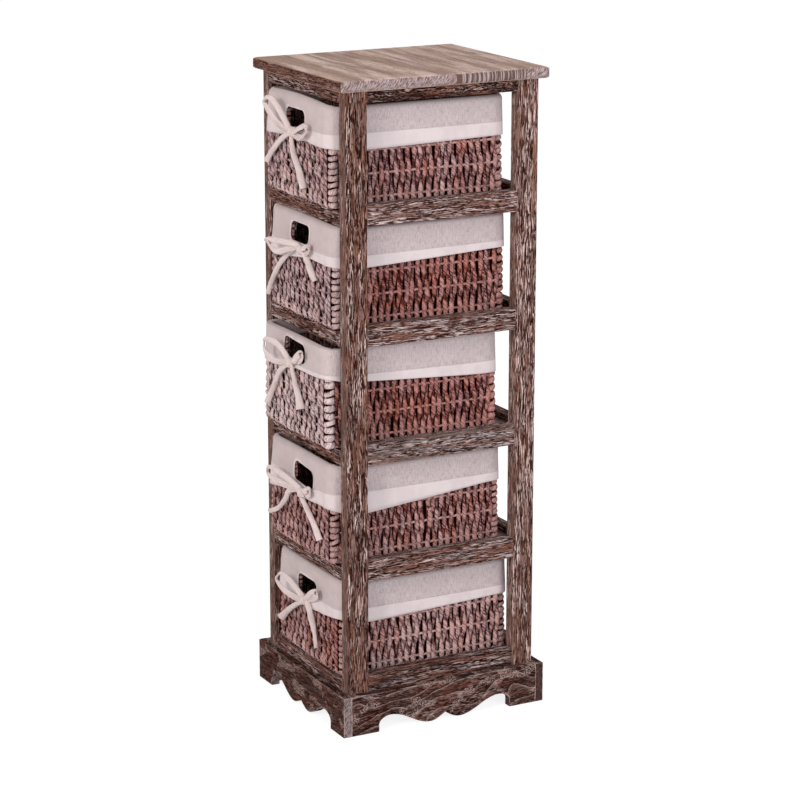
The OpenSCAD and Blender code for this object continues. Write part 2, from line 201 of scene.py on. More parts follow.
def marks(tree, vector, size, detail=3.0, roughness=0.55, shift=None):
    """Noise whose marks are about as large, in millimetres, as size says along each axis of vector. Two patterns
    on one vector are kept apart by a shift."""
    if shift:
        vector = add(tree, "VectorMath ADD", vector, shift)
    scaled = add(tree, "VectorMath MULTIPLY", vector, [1 / s for s in size])
    return add(tree, "TexNoise", scaled, Scale=1.0, Detail=detail, Roughness=roughness)


def laid_over(tree, tint, other, value, low, high, most=1.0):
    """Lays another colour over a tint, by a share that climbs smoothly from 0 where value is low to most where it
    is high. low may be the larger of the two."""
    share = add(tree, "MapRange SMOOTHSTEP", value, low, high, 0.0, most)
    return add(tree, "Mix RGBA", share, tint, other)


def object_millimetres(tree):
    """Object coordinates in millimetres."""
    return add(tree, "VectorMath SCALE", add(tree, "TexCoord").outputs["Object"], 1 / MM)


def cloth_millimetres(tree):
    """Place on the flat cloth in millimetres, from the piece's own map."""
    return add(tree, "VectorMath SCALE", add(tree, "UVMap cloth"), 1 / MM)


def grain_space(tree, along):
    """Object coordinates in millimetres, turned so that X runs along the grain: along is 0, 1 or 2."""
    axes = add(tree, "SeparateXYZ", object_millimetres(tree)).outputs
    return add(tree, "CombineXYZ", *(axes[(along + i) % 3] for i in range(3)))


def facing(tree, axis):
    """How squarely the surface faces along an axis, from 0 to 1."""
    normal = add(tree, "SeparateXYZ", add(tree, "TexCoord").outputs["Normal"])
    return add(tree, "Math ABSOLUTE", normal.outputs[axis])


def moved_by_plank(tree, space, width, joint):
    """A space that jumps by a large step from each plank to the next along Y, so that no grain runs over a joint.
    Returns also a line at the joints, 1 within 0.3 mm of them and 0 from 0.9 mm on."""
    plank = add(tree, "Math DIVIDE",
                add(tree, "Math SUBTRACT", add(tree, "SeparateXYZ", space).outputs[1], joint), width)
    jump = add(tree, "Math MULTIPLY", add(tree, "Math FLOOR", plank), 377.0)
    off = add(tree, "Math ABSOLUTE", add(tree, "Math SUBTRACT", add(tree, "Math FRACT", plank), 0.5))
    line = add(tree, "MapRange SMOOTHSTEP", off, 0.5 - 0.9 / width, 0.5 - 0.3 / width)
    return add(tree, "VectorMath ADD", space, add(tree, "CombineXYZ", jump, jump, jump)), line


def level(share):
    """The height below which about that share of a noise's values lie: they crowd round a half."""
    return 0.5 + 0.28 * (share - 0.5)


def wood_tint(tree, space, body, warm, late, lime, lime_share=0.5, late_share=0.33, warm_share=0.35, wave=5,
              wave_l=45, streak=1.15, streak_l=13, rings=0.3, pith=(160, 60), slope=0.06, blotch=(90, 9), crack=2.2):
    """Colour and height of stained, wire-brushed and limed wood. Slightly wavy streaks, streak wide and streak_l
    long and crackled, are dark late wood and pale paste by turns; year rings, cylinders round a pith outside the
    board that leans by slope, cross them in arcs; long blotches take more or less of the paste and the stain."""
    wood = bpy.context.scene.chest_wood
    blotch_l, blotch_w = blotch
    sway = marks(tree, space, (wave_l, wave_l / 2.5, wave_l / 2.5), 1, 0.5).outputs["Color"]
    swayed = add(tree, "VectorMath MULTIPLY_ADD", sway, (0, wave, wave), space)
    crackle = marks(tree, space, (11, 7, 7), 1, 0.5).outputs["Color"]
    strokes = add(tree, "VectorMath MULTIPLY_ADD", crackle, (0, crack, crack), swayed)
    # Year rings: how far the radius from the pith is into its ring, from 0 to 1
    across = add(tree, "VectorMath MULTIPLY_ADD", swayed, (0, 1, 1), (0, -pith[0], -pith[1]))
    leant = add(tree, "Math MULTIPLY", add(tree, "SeparateXYZ", space).outputs[0], slope)
    radius = add(tree, "Math ADD", add(tree, "VectorMath LENGTH", across), leant)
    ring = add(tree, "Math FRACT", add(tree, "Math DIVIDE", radius, wood.ring_pitch / MM))
    ring_line = add(tree, "Math MULTIPLY", add(tree, "Math POWER", ring, 2.5), rings)
    warmth = marks(tree, swayed, (0.8 * blotch_l, 0.7 * blotch_w, 0.7 * blotch_w), 2.5, shift=(300, 40, 90))
    tint = laid_over(tree, body, warm, warmth, level(1 - warm_share) - 0.07, level(1 - warm_share) + 0.07)
    tint = add(tree, "Mix RGBA", ring_line, tint, late)
    # Streaks are drawn at least as wide as a pixel of a usual view, because true pores would not show
    fine = marks(tree, strokes, (streak_l, streak, streak), 2, 0.66)
    stretch = marks(tree, swayed, (0.7 * blotch_l, 6, 6), 2, shift=(9, 500, 60))
    calm = add(tree, "MapRange SMOOTHSTEP", stretch, 0.6, 0.5, 0.35, 1.0)
    dark = add(tree, "MapRange SMOOTHSTEP", fine, level(late_share) + 0.03, level(late_share) - 0.03)
    dark = add(tree, "Math MULTIPLY", dark, calm)
    tint = add(tree, "Mix RGBA", add(tree, "Math MULTIPLY", dark, 0.95), tint, late)
    limed = marks(tree, swayed, (blotch_l, blotch_w, blotch_w), 2.5)
    patch = add(tree, "MapRange SMOOTHSTEP", limed, level(1 - lime_share) - 0.06, level(1 - lime_share) + 0.06,
                0.25, 1.0)
    paste = add(tree, "Math MULTIPLY", add(tree, "MapRange SMOOTHSTEP", fine, 0.51, 0.57), patch)
    paste = add(tree, "Math MULTIPLY", paste, calm)
    tint = add(tree, "Mix RGBA", paste, tint, lime)
    pores = add(tree, "MapRange SMOOTHSTEP", marks(tree, swayed, (9, 1.7, 1.7), 1.5, shift=(11, 7, 3)), 0.585, 0.63)
    tint = add(tree, "Mix RGBA", add(tree, "Math MULTIPLY", pores, 0.85), tint, wood.pore)
    height = add(tree, "Math SUBTRACT", add(tree, "Math MULTIPLY", paste, 0.3), add(tree, "Math ADD", pores, dark))
    return tint, height


def worn_and_highlit_edges(tree, tint, space, worn_highlit, radius=1.6, share=0.8, mark=20):
    """Rubbed edges with a painted edge highlight: the edge colour where a rounded normal departs from the true one,
    in marks about that long.
    """
    rounded = add(tree, "Bevel", samples=4, Radius=radius * MM)
    same = add(tree, "VectorMath DOT_PRODUCT", rounded, add(tree, "NewGeometry").outputs["Normal"])
    edge = add(tree, "MapRange SMOOTHSTEP", same, 0.985, 0.9)
    rub = add(tree, "MapRange SMOOTHSTEP", marks(tree, space, (mark, 8, 8), 2), 0.4, 0.55, 0.0, share)
    return add(tree, "Mix RGBA", add(tree, "Math MULTIPLY", edge, rub), tint, worn_highlit)


def hatched(tree, space, light, dark):
    """End grain of brushed wood: fine dark strokes that lean across the end, and a few darker rings."""
    _, y, z = add(tree, "SeparateXYZ", space).outputs
    leant = add(tree, "CombineXYZ", 0.0, add(tree, "Math MULTIPLY_ADD", z, -0.8, y), z)
    tint = laid_over(tree, dark, light, marks(tree, leant, (900, 1.2, 6), 2), 0.47, 0.55)
    ring = add(tree, "Math FRACT", add(tree, "Math DIVIDE", add(tree, "Math MULTIPLY_ADD", z, -1.6, y), 37.0))
    return add(tree, "Mix RGBA", add(tree, "Math MULTIPLY", add(tree, "Math POWER", ring, 9.0), 0.6), tint, dark)


def limed_wood(name, along, shift=(0, 0, 0), smooth=None, **grain):
    """Stained softwood, wire-brushed and limed: brown wood with dark pores, grey-white paste left in the brushed
    grain, and reddish brown on the edges, partly as rubbed-through wear and partly as a painted highlight. The faces
    along the smooth axis are drawn greyer and quieter."""
    wood = bpy.context.scene.chest_wood
    made, tree = new_material(name)
    space = add(tree, "VectorMath ADD", grain_space(tree, along), shift)
    tones = {"body": wood.body, "warm": wood.warm, "late": wood.late, "lime": wood.lime, **grain}
    tint, height = wood_tint(tree, space, **tones)
    if smooth is not None:
        tint = laid_over(tree, tint, linear("#8a6f66"), facing(tree, smooth), 0.6, 0.9, 0.3)
    tint = worn_and_highlit_edges(tree, tint, space, wood.worn_highlit)
    finished(tree, tint, height, 0.45, Roughness=0.8, Specular_IOR_Level=0.04)
    return made


def plinth_wood(name, along, end_light, end_dark, curves=0.0, shift=(0, 0, 0), **grain):
    """Darker stained softwood of the plinth: pale curved lines of flat-sawn year rings, level lines of a height
    bent by slow noise; pinkish-grey stippled scuffs between them; hatched end grain; white scratches and a painted
    highlight on the edges."""
    wood = bpy.context.scene.chest_wood
    made, tree = new_material(name)
    space = add(tree, "VectorMath ADD", grain_space(tree, along), shift)
    tint, height = wood_tint(tree, space, wood.plinth, wood.plinth_warm, wood.late, linear("#ab908b"), wave=8,
                             wave_l=60, rings=0.0, **grain)
    axes = add(tree, "SeparateXYZ", space).outputs
    sloped = add(tree, "Math MULTIPLY_ADD", axes[0], -0.22, axes[2 - along])
    bent = add(tree, "Math MULTIPLY_ADD", marks(tree, space, (90, 60, 60), 1.5), 75, sloped)
    ring, fine_ring = (add(tree, "Math FRACT", add(tree, "Math DIVIDE", bent, pitch)) for pitch in (16.0, 3.1))
    band = add(tree, "MapRange SMOOTHSTEP", marks(tree, space, (60, 26, 26), 2), 0.46, 0.56, 0.0, 0.15)
    fine_line = add(tree, "Math MULTIPLY", add(tree, "Math POWER", fine_ring, 2.5), band)
    line = add(tree, "Math ADD", add(tree, "Math POWER", ring, 10.0), fine_line)
    rough = add(tree, "MapRange SMOOTHSTEP", marks(tree, space, (6, 1.3, 1.3), 2), 0.35, 0.5, 0.0, 0.8 * curves)
    tint = add(tree, "Mix RGBA", add(tree, "Math MULTIPLY", line, rough), tint, linear("#c6a99e"))
    gully = add(tree, "Math POWER", add(tree, "Math SUBTRACT", 1.0, ring), 6.0)
    tint = add(tree, "Mix RGBA", add(tree, "Math MULTIPLY", gully, 0.8 * curves), tint, wood.pore)
    scuff = marks(tree, space, (34, 20, 20), 2, shift=(50, 0, 20))
    stipple = marks(tree, space, (2.1, 1.4, 1.4), 1.5, shift=(0, 80, 0))
    scuffed = add(tree, "Math MULTIPLY", add(tree, "MapRange SMOOTHSTEP", scuff, 0.53, 0.6, 0.0, 0.75),
                  add(tree, "MapRange SMOOTHSTEP", stipple, 0.49, 0.55))
    tint = add(tree, "Mix RGBA", scuffed, tint, linear("#c5aaa2"))
    ends = hatched(tree, grain_space(tree, along), linear(end_light), linear(end_dark))
    tint = laid_over(tree, tint, ends, facing(tree, along), 0.6, 0.9)
    # Pale edges: scratches and a painted edge highlight
    tint = worn_and_highlit_edges(tree, tint, space, linear("#d8c6bf"), radius=2.0, share=0.95, mark=50)
    finished(tree, tint, height, 0.45, Roughness=0.8, Specular_IOR_Level=0.04)
    return made


def board_tint(tree, space):
    """Colour and height of the top board's face: sanded wood, so that its paste and late wood are only faint lines
    along it, in some places, on broad paler, darker and golden stripes."""
    wood = bpy.context.scene.chest_wood
    tint = laid_over(tree, wood.top, wood.top_light, marks(tree, space, (170, 26, 26), 3), 0.42, 0.58)
    tint = laid_over(tree, tint, linear("#b7967d"), marks(tree, space, (120, 50, 50), 2), 0.45, 0.6, 0.4)
    lines = marks(tree, space, (60, 1.9, 1.9), 2.5, 0.65)
    some = add(tree, "MapRange SMOOTHSTEP", marks(tree, space, (90, 16, 16), 2), 0.45, 0.58, 0.2, 1.0)
    dark = add(tree, "Math MULTIPLY", add(tree, "MapRange SMOOTHSTEP", lines, 0.49, 0.4, 0.0, 0.8), some)
    tint = add(tree, "Mix RGBA", dark, tint, wood.top_dark)
    tint = laid_over(tree, tint, linear("#ead2c3"), lines, 0.53, 0.62, 0.25)
    return laid_over(tree, tint, wood.top_dark, marks(tree, space, (7, 1.5, 1.5), 2), 0.56, 0.61, 0.5), lines


def top_wood():
    """The glued-up top: paler, sanded smoother and thinly limed. Its front plank's end is pale and hatched, the
    next plank's end striped upright, and its long edges are as dark as the posts."""
    wood = bpy.context.scene.chest_wood
    made, tree = new_material("limed_wood_top")
    plain = grain_space(tree, 0)
    low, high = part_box("top_board")
    middle = (low.y + high.y) / 2 / MM
    space, joint = moved_by_plank(tree, plain, wood.plank_w / MM, middle + 14)
    tint, height = board_tint(tree, space)
    tint = add(tree, "Mix RGBA", add(tree, "Math MULTIPLY", joint, 0.35), tint, wood.top_dark)
    long_edge, _ = wood_tint(tree, space, wood.body, wood.warm, wood.late, linear("#a8887c"), lime_share=0.2,
                             late_share=0.42, streak_l=30)
    # End grain: each plank's is laid on between two distances from the board's middle
    y = add(tree, "Math SUBTRACT", add(tree, "SeparateXYZ", plain).outputs[1], middle)
    stripes = marks(tree, plain, (900, 2.6, 60), 2.5)
    striped = laid_over(tree, linear("#645049"), linear("#b5a5a2"), stripes, 0.46, 0.58)
    ends = hatched(tree, plain, linear("#c4b2b1"), linear("#755f5b"))
    for other, near, far in ((striped, (20, 22), (121, 119)), (linear("#6e524a"), (13, 14), (23, 21))):
        within = add(tree, "Math MULTIPLY", add(tree, "MapRange SMOOTHSTEP", y, *near),
                     add(tree, "MapRange SMOOTHSTEP", y, *far))
        ends = add(tree, "Mix RGBA", within, ends, other)
    tint = laid_over(tree, tint, long_edge, facing(tree, 1), 0.5, 0.8)
    tint = laid_over(tree, tint, ends, facing(tree, 0), 0.5, 0.8)
    # Pale edges: wear and a painted edge highlight
    tint = worn_and_highlit_edges(tree, tint, space, linear("#b49a8c"), share=0.6)
    finished(tree, tint, height, 0.2, Roughness=0.7, Specular_IOR_Level=0.1)
    return made


def plain_wood(name, along, base, streak, size):
    """Unlimed wood, sanded: fine streaks in two tones."""
    made, tree = new_material(name)
    fibres = marks(tree, grain_space(tree, along), size, 4)
    tint = laid_over(tree, base, streak, fibres, 0.42, 0.58)
    finished(tree, tint, fibres, 0.1, Roughness=0.6, Specular_IOR_Level=0.25)
    return made


def zinc_steel():
    """Zinc-plated steel, drawn and turned: grey, softly shiny, with faint mottling."""
    made, tree = new_material("zinc_steel")
    mottle = marks(tree, grain_space(tree, 2), (2, 2, 2), 2)
    tint = add(tree, "Mix RGBA", mottle, linear("#8d8f92"), linear("#b4b6b8"))
    finished(tree, tint, Metallic=1.0, Roughness=0.38)
    return made


def grass_cord():
    """Dyed grass cord, twisted and woven: dull fibres that wind round each cord, lighter and darker by turns, partly
    their own tone and partly painted highlights on their ridges and painted shade in the furrows; a painted highlight
    on the crests, and painted shade in the hollows. fibre holds a cord's own coordinates in millimetres, unwound;
    tone and hue tell one float from another, tone also holds painted light near the foot, and deep is 1 at the middle
    of the wall and 0 at its faces."""
    weave = bpy.context.scene.chest_weave
    made, tree = new_material("dyed_grass_cord")
    fibre = add(tree, "Attribute fibre").outputs["Vector"]
    tone, hue, deep = (add(tree, f"Attribute {key}").outputs["Fac"] for key in ("tone", "hue", "deep"))
    strands = marks(tree, fibre, (2.4, 2.4, 17), 2, 0.6)
    # The pale colour of lighter floats, of the painted light near the foot, and of the painted highlights on fibre
    # ridges and crests
    rubbed = add(tree, "Mix RGBA", hue, linear("#e9d3d0"), linear("#cb958c"))
    dye = marks(tree, object_millimetres(tree), (40, 40, 26), 2)
    tint = add(tree, "Mix RGBA", hue, weave.front, weave.side)
    tint = laid_over(tree, tint, weave.grey, dye, 0.52, 0.64, 0.4)
    bare = add(tree, "Math MULTIPLY", add(tree, "MapRange SMOOTHSTEP", dye, 0.46, 0.36, 0.0, 0.4), hue)
    tint = add(tree, "Mix RGBA", bare, tint, weave.straw)
    # By tone: lighter floats with painted light near the foot, and darker floats; by strands: painted highlights and
    # painted shade along the fibres; by deep: a painted highlight on the crests and painted shade in the hollows
    for other, value, low, high, most in (
            (rubbed, tone, 0.5, 1.3, 0.8), (weave.gap, tone, 0.5, 0.0, 0.45), (weave.gap, strands, 0.51, 0.43, 0.75),
            (rubbed, strands, 0.52, 0.6, 0.6), (rubbed, deep, 0.25, 0.0, 0.35), (weave.gap, deep, 0.4, 0.75, 1.0)):
        tint = laid_over(tree, tint, other, value, low, high, most)
    finished(tree, tint, strands, 0.6, Roughness=0.9, Specular_IOR_Level=0.03)
    return made


def liner_cotton():
    """Unbleached cotton, plain woven and sewn: matt off-white with darker slub threads, and a paler, smoother hem.
    The map's U runs round the basket and V up from the hem."""
    liner = bpy.context.scene.chest_liner
    made, tree = new_material("unbleached_cotton")
    cloth = cloth_millimetres(tree)
    # Threads are drawn about three times as coarse as they are, to show
    warp = marks(tree, cloth, (1.5, 9, 1), 2, 0.6)
    weft = marks(tree, cloth, (8, 1.5, 1), 2, 0.6)
    slubs = add(tree, "Math ADD", add(tree, "MapRange SMOOTHSTEP", warp, 0.49, 0.6, 0.0, 0.45),
                add(tree, "MapRange SMOOTHSTEP", weft, 0.52, 0.62, 0.0, 0.25))
    # The sides' cloth is coarser than the front's
    sideways = add(tree, "MapRange SMOOTHSTEP", facing(tree, 0), 0.5, 0.9, 0.25, 1.0)
    slubs = add(tree, "Math MULTIPLY", slubs, sideways)
    tint = add(tree, "Mix RGBA", slubs, liner.cloth, liner.slub)
    hem_tint = add(tree, "Mix RGBA", add(tree, "Math MULTIPLY", slubs, 0.25), liner.hem, liner.cloth)
    v, hem_h = add(tree, "SeparateXYZ", cloth).outputs[1], liner.hem_h / MM
    tint = laid_over(tree, tint, hem_tint, v, hem_h + 1.2, hem_h - 0.8)
    tint = laid_over(tree, tint, liner.slub, marks(tree, cloth, (26, 20, 1), 2), 0.42, 0.6, 0.12)
    off_seam = add(tree, "Math ABSOLUTE", add(tree, "Math SUBTRACT", v, hem_h))
    seam = add(tree, "MapRange SMOOTHSTEP", off_seam, 0.9, 0.2)
    tint = add(tree, "Mix RGBA", add(tree, "Math MULTIPLY", seam, 0.3), tint, liner.slub)
    height = add(tree, "Math SUBTRACT", add(tree, "Math ADD", warp, weft), seam)
    finished(tree, tint, height, 0.25, Roughness=0.92, IOR=1.45, Sheen_Weight=0.15, Sheen_Roughness=0.6)
    return made


def cotton_tape():
    """Bleached cotton tape, woven: matt off-white with fine ribs along it and painted shade along its edges. The
    map's
    U runs across the tape from its middle and V along it."""
    ribbon = bpy.context.scene.chest_ribbon
    made, tree = new_material("cotton_tape")
    tape = cloth_millimetres(tree)
    width = ribbon.width / MM
    ribs = marks(tree, tape, (1.1, 14, 1), 2)
    across = add(tree, "Math ABSOLUTE", add(tree, "SeparateXYZ", tape).outputs[0])
    tint = laid_over(tree, ribbon.ribbon, linear("#b8a8a6"), ribs, 0.45, 0.6, 0.35)
    tint = laid_over(tree, tint, linear("#cbb9b4"), marks(tree, tape, (7, 18, 1), 2), 0.5, 0.62, 0.3)
    # Painted shade along both edges of the tape
    tint = laid_over(tree, tint, linear("#c4b2ad"), across, 0.36 * width, 0.46 * width, 0.35)
    finished(tree, tint, ribs, 0.2, Roughness=0.9, IOR=1.45, Sheen_Weight=0.15, Sheen_Roughness=0.6)
    return made


# Surfaces

Surface = namedtuple("Surface", "points faces fibre tone hue deep")


def unit(vector):
    """A vector, or each of many, at length 1."""
    return vector / np.linalg.norm(vector, axis=-1, keepdims=True)


def lattice(count, rows, columns, closed_rows=False, closed_columns=True):
    """Corners of the quads of count grids of rows x columns points. Seen from outside, the columns' direction
    turned by a quarter to the left is the rows' direction."""
    r, c = np.meshgrid(np.arange(rows if closed_rows else rows - 1),
                       np.arange(columns if closed_columns else columns - 1), indexing="ij")
    r2, c2 = (r + 1) % rows, (c + 1) % columns
    quads = np.stack([r * columns + c, r * columns + c2, r2 * columns + c2, r2 * columns + c], -1).reshape(-1, 4)
    return (quads[None] + (np.arange(count) * rows * columns)[:, None, None]).reshape(-1, 4)


def tubes(centre, one, two, half_one, half_two, sides, tone, hue, lift=0.0, reach=None, twist=18.0, closed=False):
    """Cords along count paths at once: at each point of a path stands an ellipse, centre + one * half_one * cos(a)
    + two * half_two * sin(a), where one x two points along the path. fibre is the same ellipse unwound by a full
    turn every twist millimetres. deep falls from 1 in the wall's middle, lift away from the centre, to 0 at
    reach; the cords' material paints shade and highlights by it."""
    count, rings = centre.shape[:2]
    a = np.arange(sides) * 2 * np.pi / sides
    cos, sin = np.cos(a)[None, None, :, None], np.sin(a)[None, None, :, None]
    points = (centre[:, :, None] + one[:, :, None] * half_one[:, :, None, None] * cos
              + two[:, :, None] * half_two[:, :, None, None] * sin)
    step = np.linalg.norm(np.diff(centre, axis=1), axis=-1)
    along = np.concatenate([np.zeros((count, 1)), np.cumsum(step, 1)], 1) + np.arange(count)[:, None] * 31.7
    turned = a[None, None] + 2 * np.pi * along[:, :, None] / twist
    fibre = np.stack([np.cos(turned) * half_one[:, :, None], np.sin(turned) * half_two[:, :, None],
                      np.broadcast_to(along[:, :, None], turned.shape)], -1)
    off = np.broadcast_to(lift, (count, rings))[..., None] + half_two[:, :, None] * np.sin(a)[None, None]
    reach = half_two[:, :, None] if reach is None else reach
    deep = 1 - np.clip(np.abs(off) / reach, 0, 1)
    faces = [lattice(count, rings, sides, closed)]
    if not closed:
        first = np.arange(count)[:, None] * rings * sides
        faces += [first + np.arange(sides)[::-1], first + (rings - 1) * sides + np.arange(sides)]
    tone, hue = (np.repeat(np.broadcast_to(value, (count, rings)).ravel(), sides) for value in (tone, hue))
    return Surface(points.reshape(-1, 3), faces, fibre.reshape(-1, 3), tone, hue, deep.ravel())


def new_piece(name, surfaces, material, level, uv=None):
    """One mesh of all the surfaces, moved from a basket's millimetres into the frame, riding on its drawer. uv gives
    each corner's place on the flat cloth, in millimetres, in the order of the faces."""
    points = np.concatenate([s.points for s in surfaces]) * MM + np.array(basket_place(level))
    starts = np.cumsum([0] + [len(s.points) for s in surfaces])
    polygons = [f + start for s, start in zip(surfaces, starts) for f in s.faces]
    sizes = np.concatenate([np.full(len(f), f.shape[1]) for f in polygons])
    corners = np.concatenate([f.ravel() for f in polygons])
    mesh = bpy.data.meshes.new(name)
    mesh.vertices.add(len(points))
    mesh.vertices.foreach_set("co", points.astype(np.float32).ravel())
    mesh.loops.add(len(corners))
    mesh.loops.foreach_set("vertex_index", corners.astype(np.int32))
    mesh.polygons.add(len(sizes))
    mesh.polygons.foreach_set("loop_start", (np.cumsum(sizes) - sizes).astype(np.int32))
    mesh.polygons.foreach_set("use_smooth", np.ones(len(sizes), bool))
    if uv is None:
        fibre = np.concatenate([s.fibre for s in surfaces]).astype(np.float32)
        mesh.attributes.new("fibre", "FLOAT_VECTOR", "POINT").data.foreach_set("vector", fibre.ravel())
        for key in ("tone", "hue", "deep"):
            values = np.concatenate([getattr(s, key) for s in surfaces]).astype(np.float32)
            mesh.attributes.new(key, "FLOAT", "POINT").data.foreach_set("value", values)
    else:
        mesh.uv_layers.new(name="cloth").data.foreach_set("uv", (uv * MM).astype(np.float32).ravel())
    mesh.update(calc_edges=True)
    mesh.validate()
    mesh.materials.append(material)
    piece = bpy.data.objects.new(name, mesh)
    bpy.context.scene.collection.objects.link(piece)
    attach(piece, f"drawer_{level}")
    return piece


# Form of a basket, in millimetres: its bows, tapers and roundings are those of its solid

WALL = 6.0          # thickness of the woven wall
FRONT_BOW, REAR_BOW, SIDE_BOW = 2.5, 2.0, 2.0
SIDE_TAPER, REAR_TAPER = 2.0, 2.5
CORNER_R, RIM_CORNER_R, FOOT_R = 9.0, 22.0, 8.0
KNUCKLE_MAX = 8.7   # knuckles that stand further apart than this grow no thicker
COLUMN_R = 7.0      # a corner column's middle lies this far inside the wall's outer face
CLOTH_OUT = 2.0     # how far the cloth's rim stands above the weave
MIDDLE = -3.1       # the wall's middle surface, outwards from its outer face
UP = np.array([0.0, 0.0, 1.0])

# A hand hole's middle, to the right and up, its size, and how far its right end is drawn up
Hole = namedtuple("Hole", "x z w h skew")
# Every basket is made by hand. front_hue and side_hue run from 0, grey-mauve, to 1, red-brown; light raises the
# front cords' tone and thickens the corner knuckles, and side_light raises the side cords' tone. The cloth's rim
# lies drop below the solid's upper edge, with a hump of rise at the middle of the front, and climbs by tilt from
# left to right. The front leans back by lean above its middle. hem gives points of the outer hem across the front,
# to the right and up, and side_hem its height near the front and the rear end of the sides.
Form = namedtuple("Form", "front_hue side_hue light side_light drop rise tilt lean hem side_hem hole")

FORMS = [
    Form(0.2, 0.7, 0.05, 0.08, 1, 5.2, -2, 2,
         ((-77, 79.8), (-47, 82.5), (43, 83), (71, 81.3), (98, 81.5)), (77.7, 81.8), Hole(3.5, 109, 60, 32, 0)),
    Form(0.18, 0.95, 0.0, 0.08, -2, 2.4, -1, 5,
         ((-71, 74.2), (35, 88.8), (74, 86.6), (97, 86.4)), (82.6, 91.3), Hole(1, 117, 60, 30, 0)),
    Form(0.0, 1.0, 0.42, 0.08, -1.2, 3.4, 0, 1,
         ((-76, 86.2), (-31, 93.1), (27, 98.2), (59, 97), (98, 99)), (92.5, 80.5), Hole(10, 122, 68, 31, -2)),
    Form(0.58, 0.74, 0.0, 0.08, -1.5, 2.8, 0, 3,
         ((-88, 68.3), (-28, 78.8), (45, 80.2), (77, 80), (98, 79)), (67.8, 88.2), Hole(20, 110, 62, 31, -3)),
    Form(0.68, 0.54, 0.0, 0.3, 0, 1, 1, 1.5,
         ((-72, 78), (-34, 81), (19, 77.7), (51, 79.2), (82, 83.2), (98, 85)), (76.4, 84.6),
         Hole(4, 105.5, 62, 30, 0)),
]


def basket_size():
    """Width, depth and height of a basket's weave, without its bows."""
    low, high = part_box("basket_1")
    size = (high - low) / MM
    return size.x - 2 * SIDE_BOW, size.y - FRONT_BOW - REAR_BOW, size.z


def basket_place(level):
    """Where a basket's own origin, the middle of its underside, lies in the frame."""
    low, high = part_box(f"basket_{level}")
    return (low.x + high.x) / 2, (low.y + FRONT_BOW * MM + high.y - REAR_BOW * MM) / 2, low.z


def basket_plan():
    """The basket's plan at its foot, walked from the middle of the left side over the front, right and rear: each
    side is a straight line bowed out by a parabola, and a quarter circle joins it to the next. Returns the running
    length, points, outward normals, how far the rim's larger corner circle lies inside each point, and the running
    length at the middle of each side and of each corner."""
    width, depth, _ = basket_size()
    half = {"front": depth / 2, "right": width / 2, "rear": depth / 2, "left": width / 2}
    chord = {"front": width / 2 - CORNER_R, "rear": width / 2 - CORNER_R,
             "right": depth / 2 - CORNER_R, "left": depth / 2 - CORNER_R}
    bow = {"front": FRONT_BOW, "right": SIDE_BOW, "rear": REAR_BOW, "left": SIDE_BOW}
    gap = RIM_CORNER_R - CORNER_R
    straight, bend = 81, 12     # points along a side and round a corner
    pieces, inside, middles, count = [], [], {}, 0
    for turn, side in zip((-90, 0, 90, 180), ("front", "right", "rear", "left")):
        out = np.array([math.cos(math.radians(turn)), math.sin(math.radians(turn))])
        across = np.array([-out[1], out[0]])
        u = np.linspace(-1, 1, straight)[:, None]
        pieces.append(out * (half[side] + bow[side] * (1 - u ** 2)) + across * chord[side] * u)
        short = np.maximum(gap - chord[side] * (1 - np.abs(u[:, 0])), 0)
        inside.append(RIM_CORNER_R - np.sqrt(RIM_CORNER_R ** 2 - short ** 2))
        middles[side] = count + straight // 2
        a = np.radians(np.linspace(0, 90, bend + 2)[1:-1])[:, None]
        centre = out * (half[side] - CORNER_R) + across * chord[side]
        pieces.append(centre + CORNER_R * (out * np.cos(a) + across * np.sin(a)))
        lean = gap * (np.cos(a) + np.sin(a))[:, 0]
        inside.append(CORNER_R + lean - np.sqrt(lean ** 2 - 2 * gap ** 2 + RIM_CORNER_R ** 2))
        count += straight + bend
    loop, inside = np.concatenate(pieces), np.concatenate(inside)
    tangent = np.roll(loop, -1, 0) - np.roll(loop, 1, 0)
    normal = np.stack([tangent[:, 1], -tangent[:, 0]], 1) / np.linalg.norm(tangent, axis=1)[:, None]
    run = np.concatenate([[0], np.cumsum(np.linalg.norm(np.roll(loop, -1, 0) - loop, axis=1))])
    points, normals, inside = (np.concatenate([v, v[:1]]) for v in (loop, normal, inside))
    ahead = (straight + bend) // 2
    corners = [(run[i + ahead] + run[i + ahead + 1]) / 2 for i in middles.values()]
    return run, points, normals, inside, {side: run[i] for side, i in middles.items()}, corners


PLAN = basket_plan()
PLAN_LENGTH = PLAN[0][-1]
MIDDLES, CORNERS = PLAN[4:]


def plan_at(s):
    """Points, unit normals and the rim's insets of the plan at running lengths s."""
    run, points, normals, inside = PLAN[:4]
    s = np.mod(s, PLAN_LENGTH)
    point = np.stack([np.interp(s, run, points[:, i]) for i in (0, 1)], -1)
    normal = np.stack([np.interp(s, run, normals[:, i]) for i in (0, 1)], -1)
    return point, unit(normal), np.interp(s, run, inside)


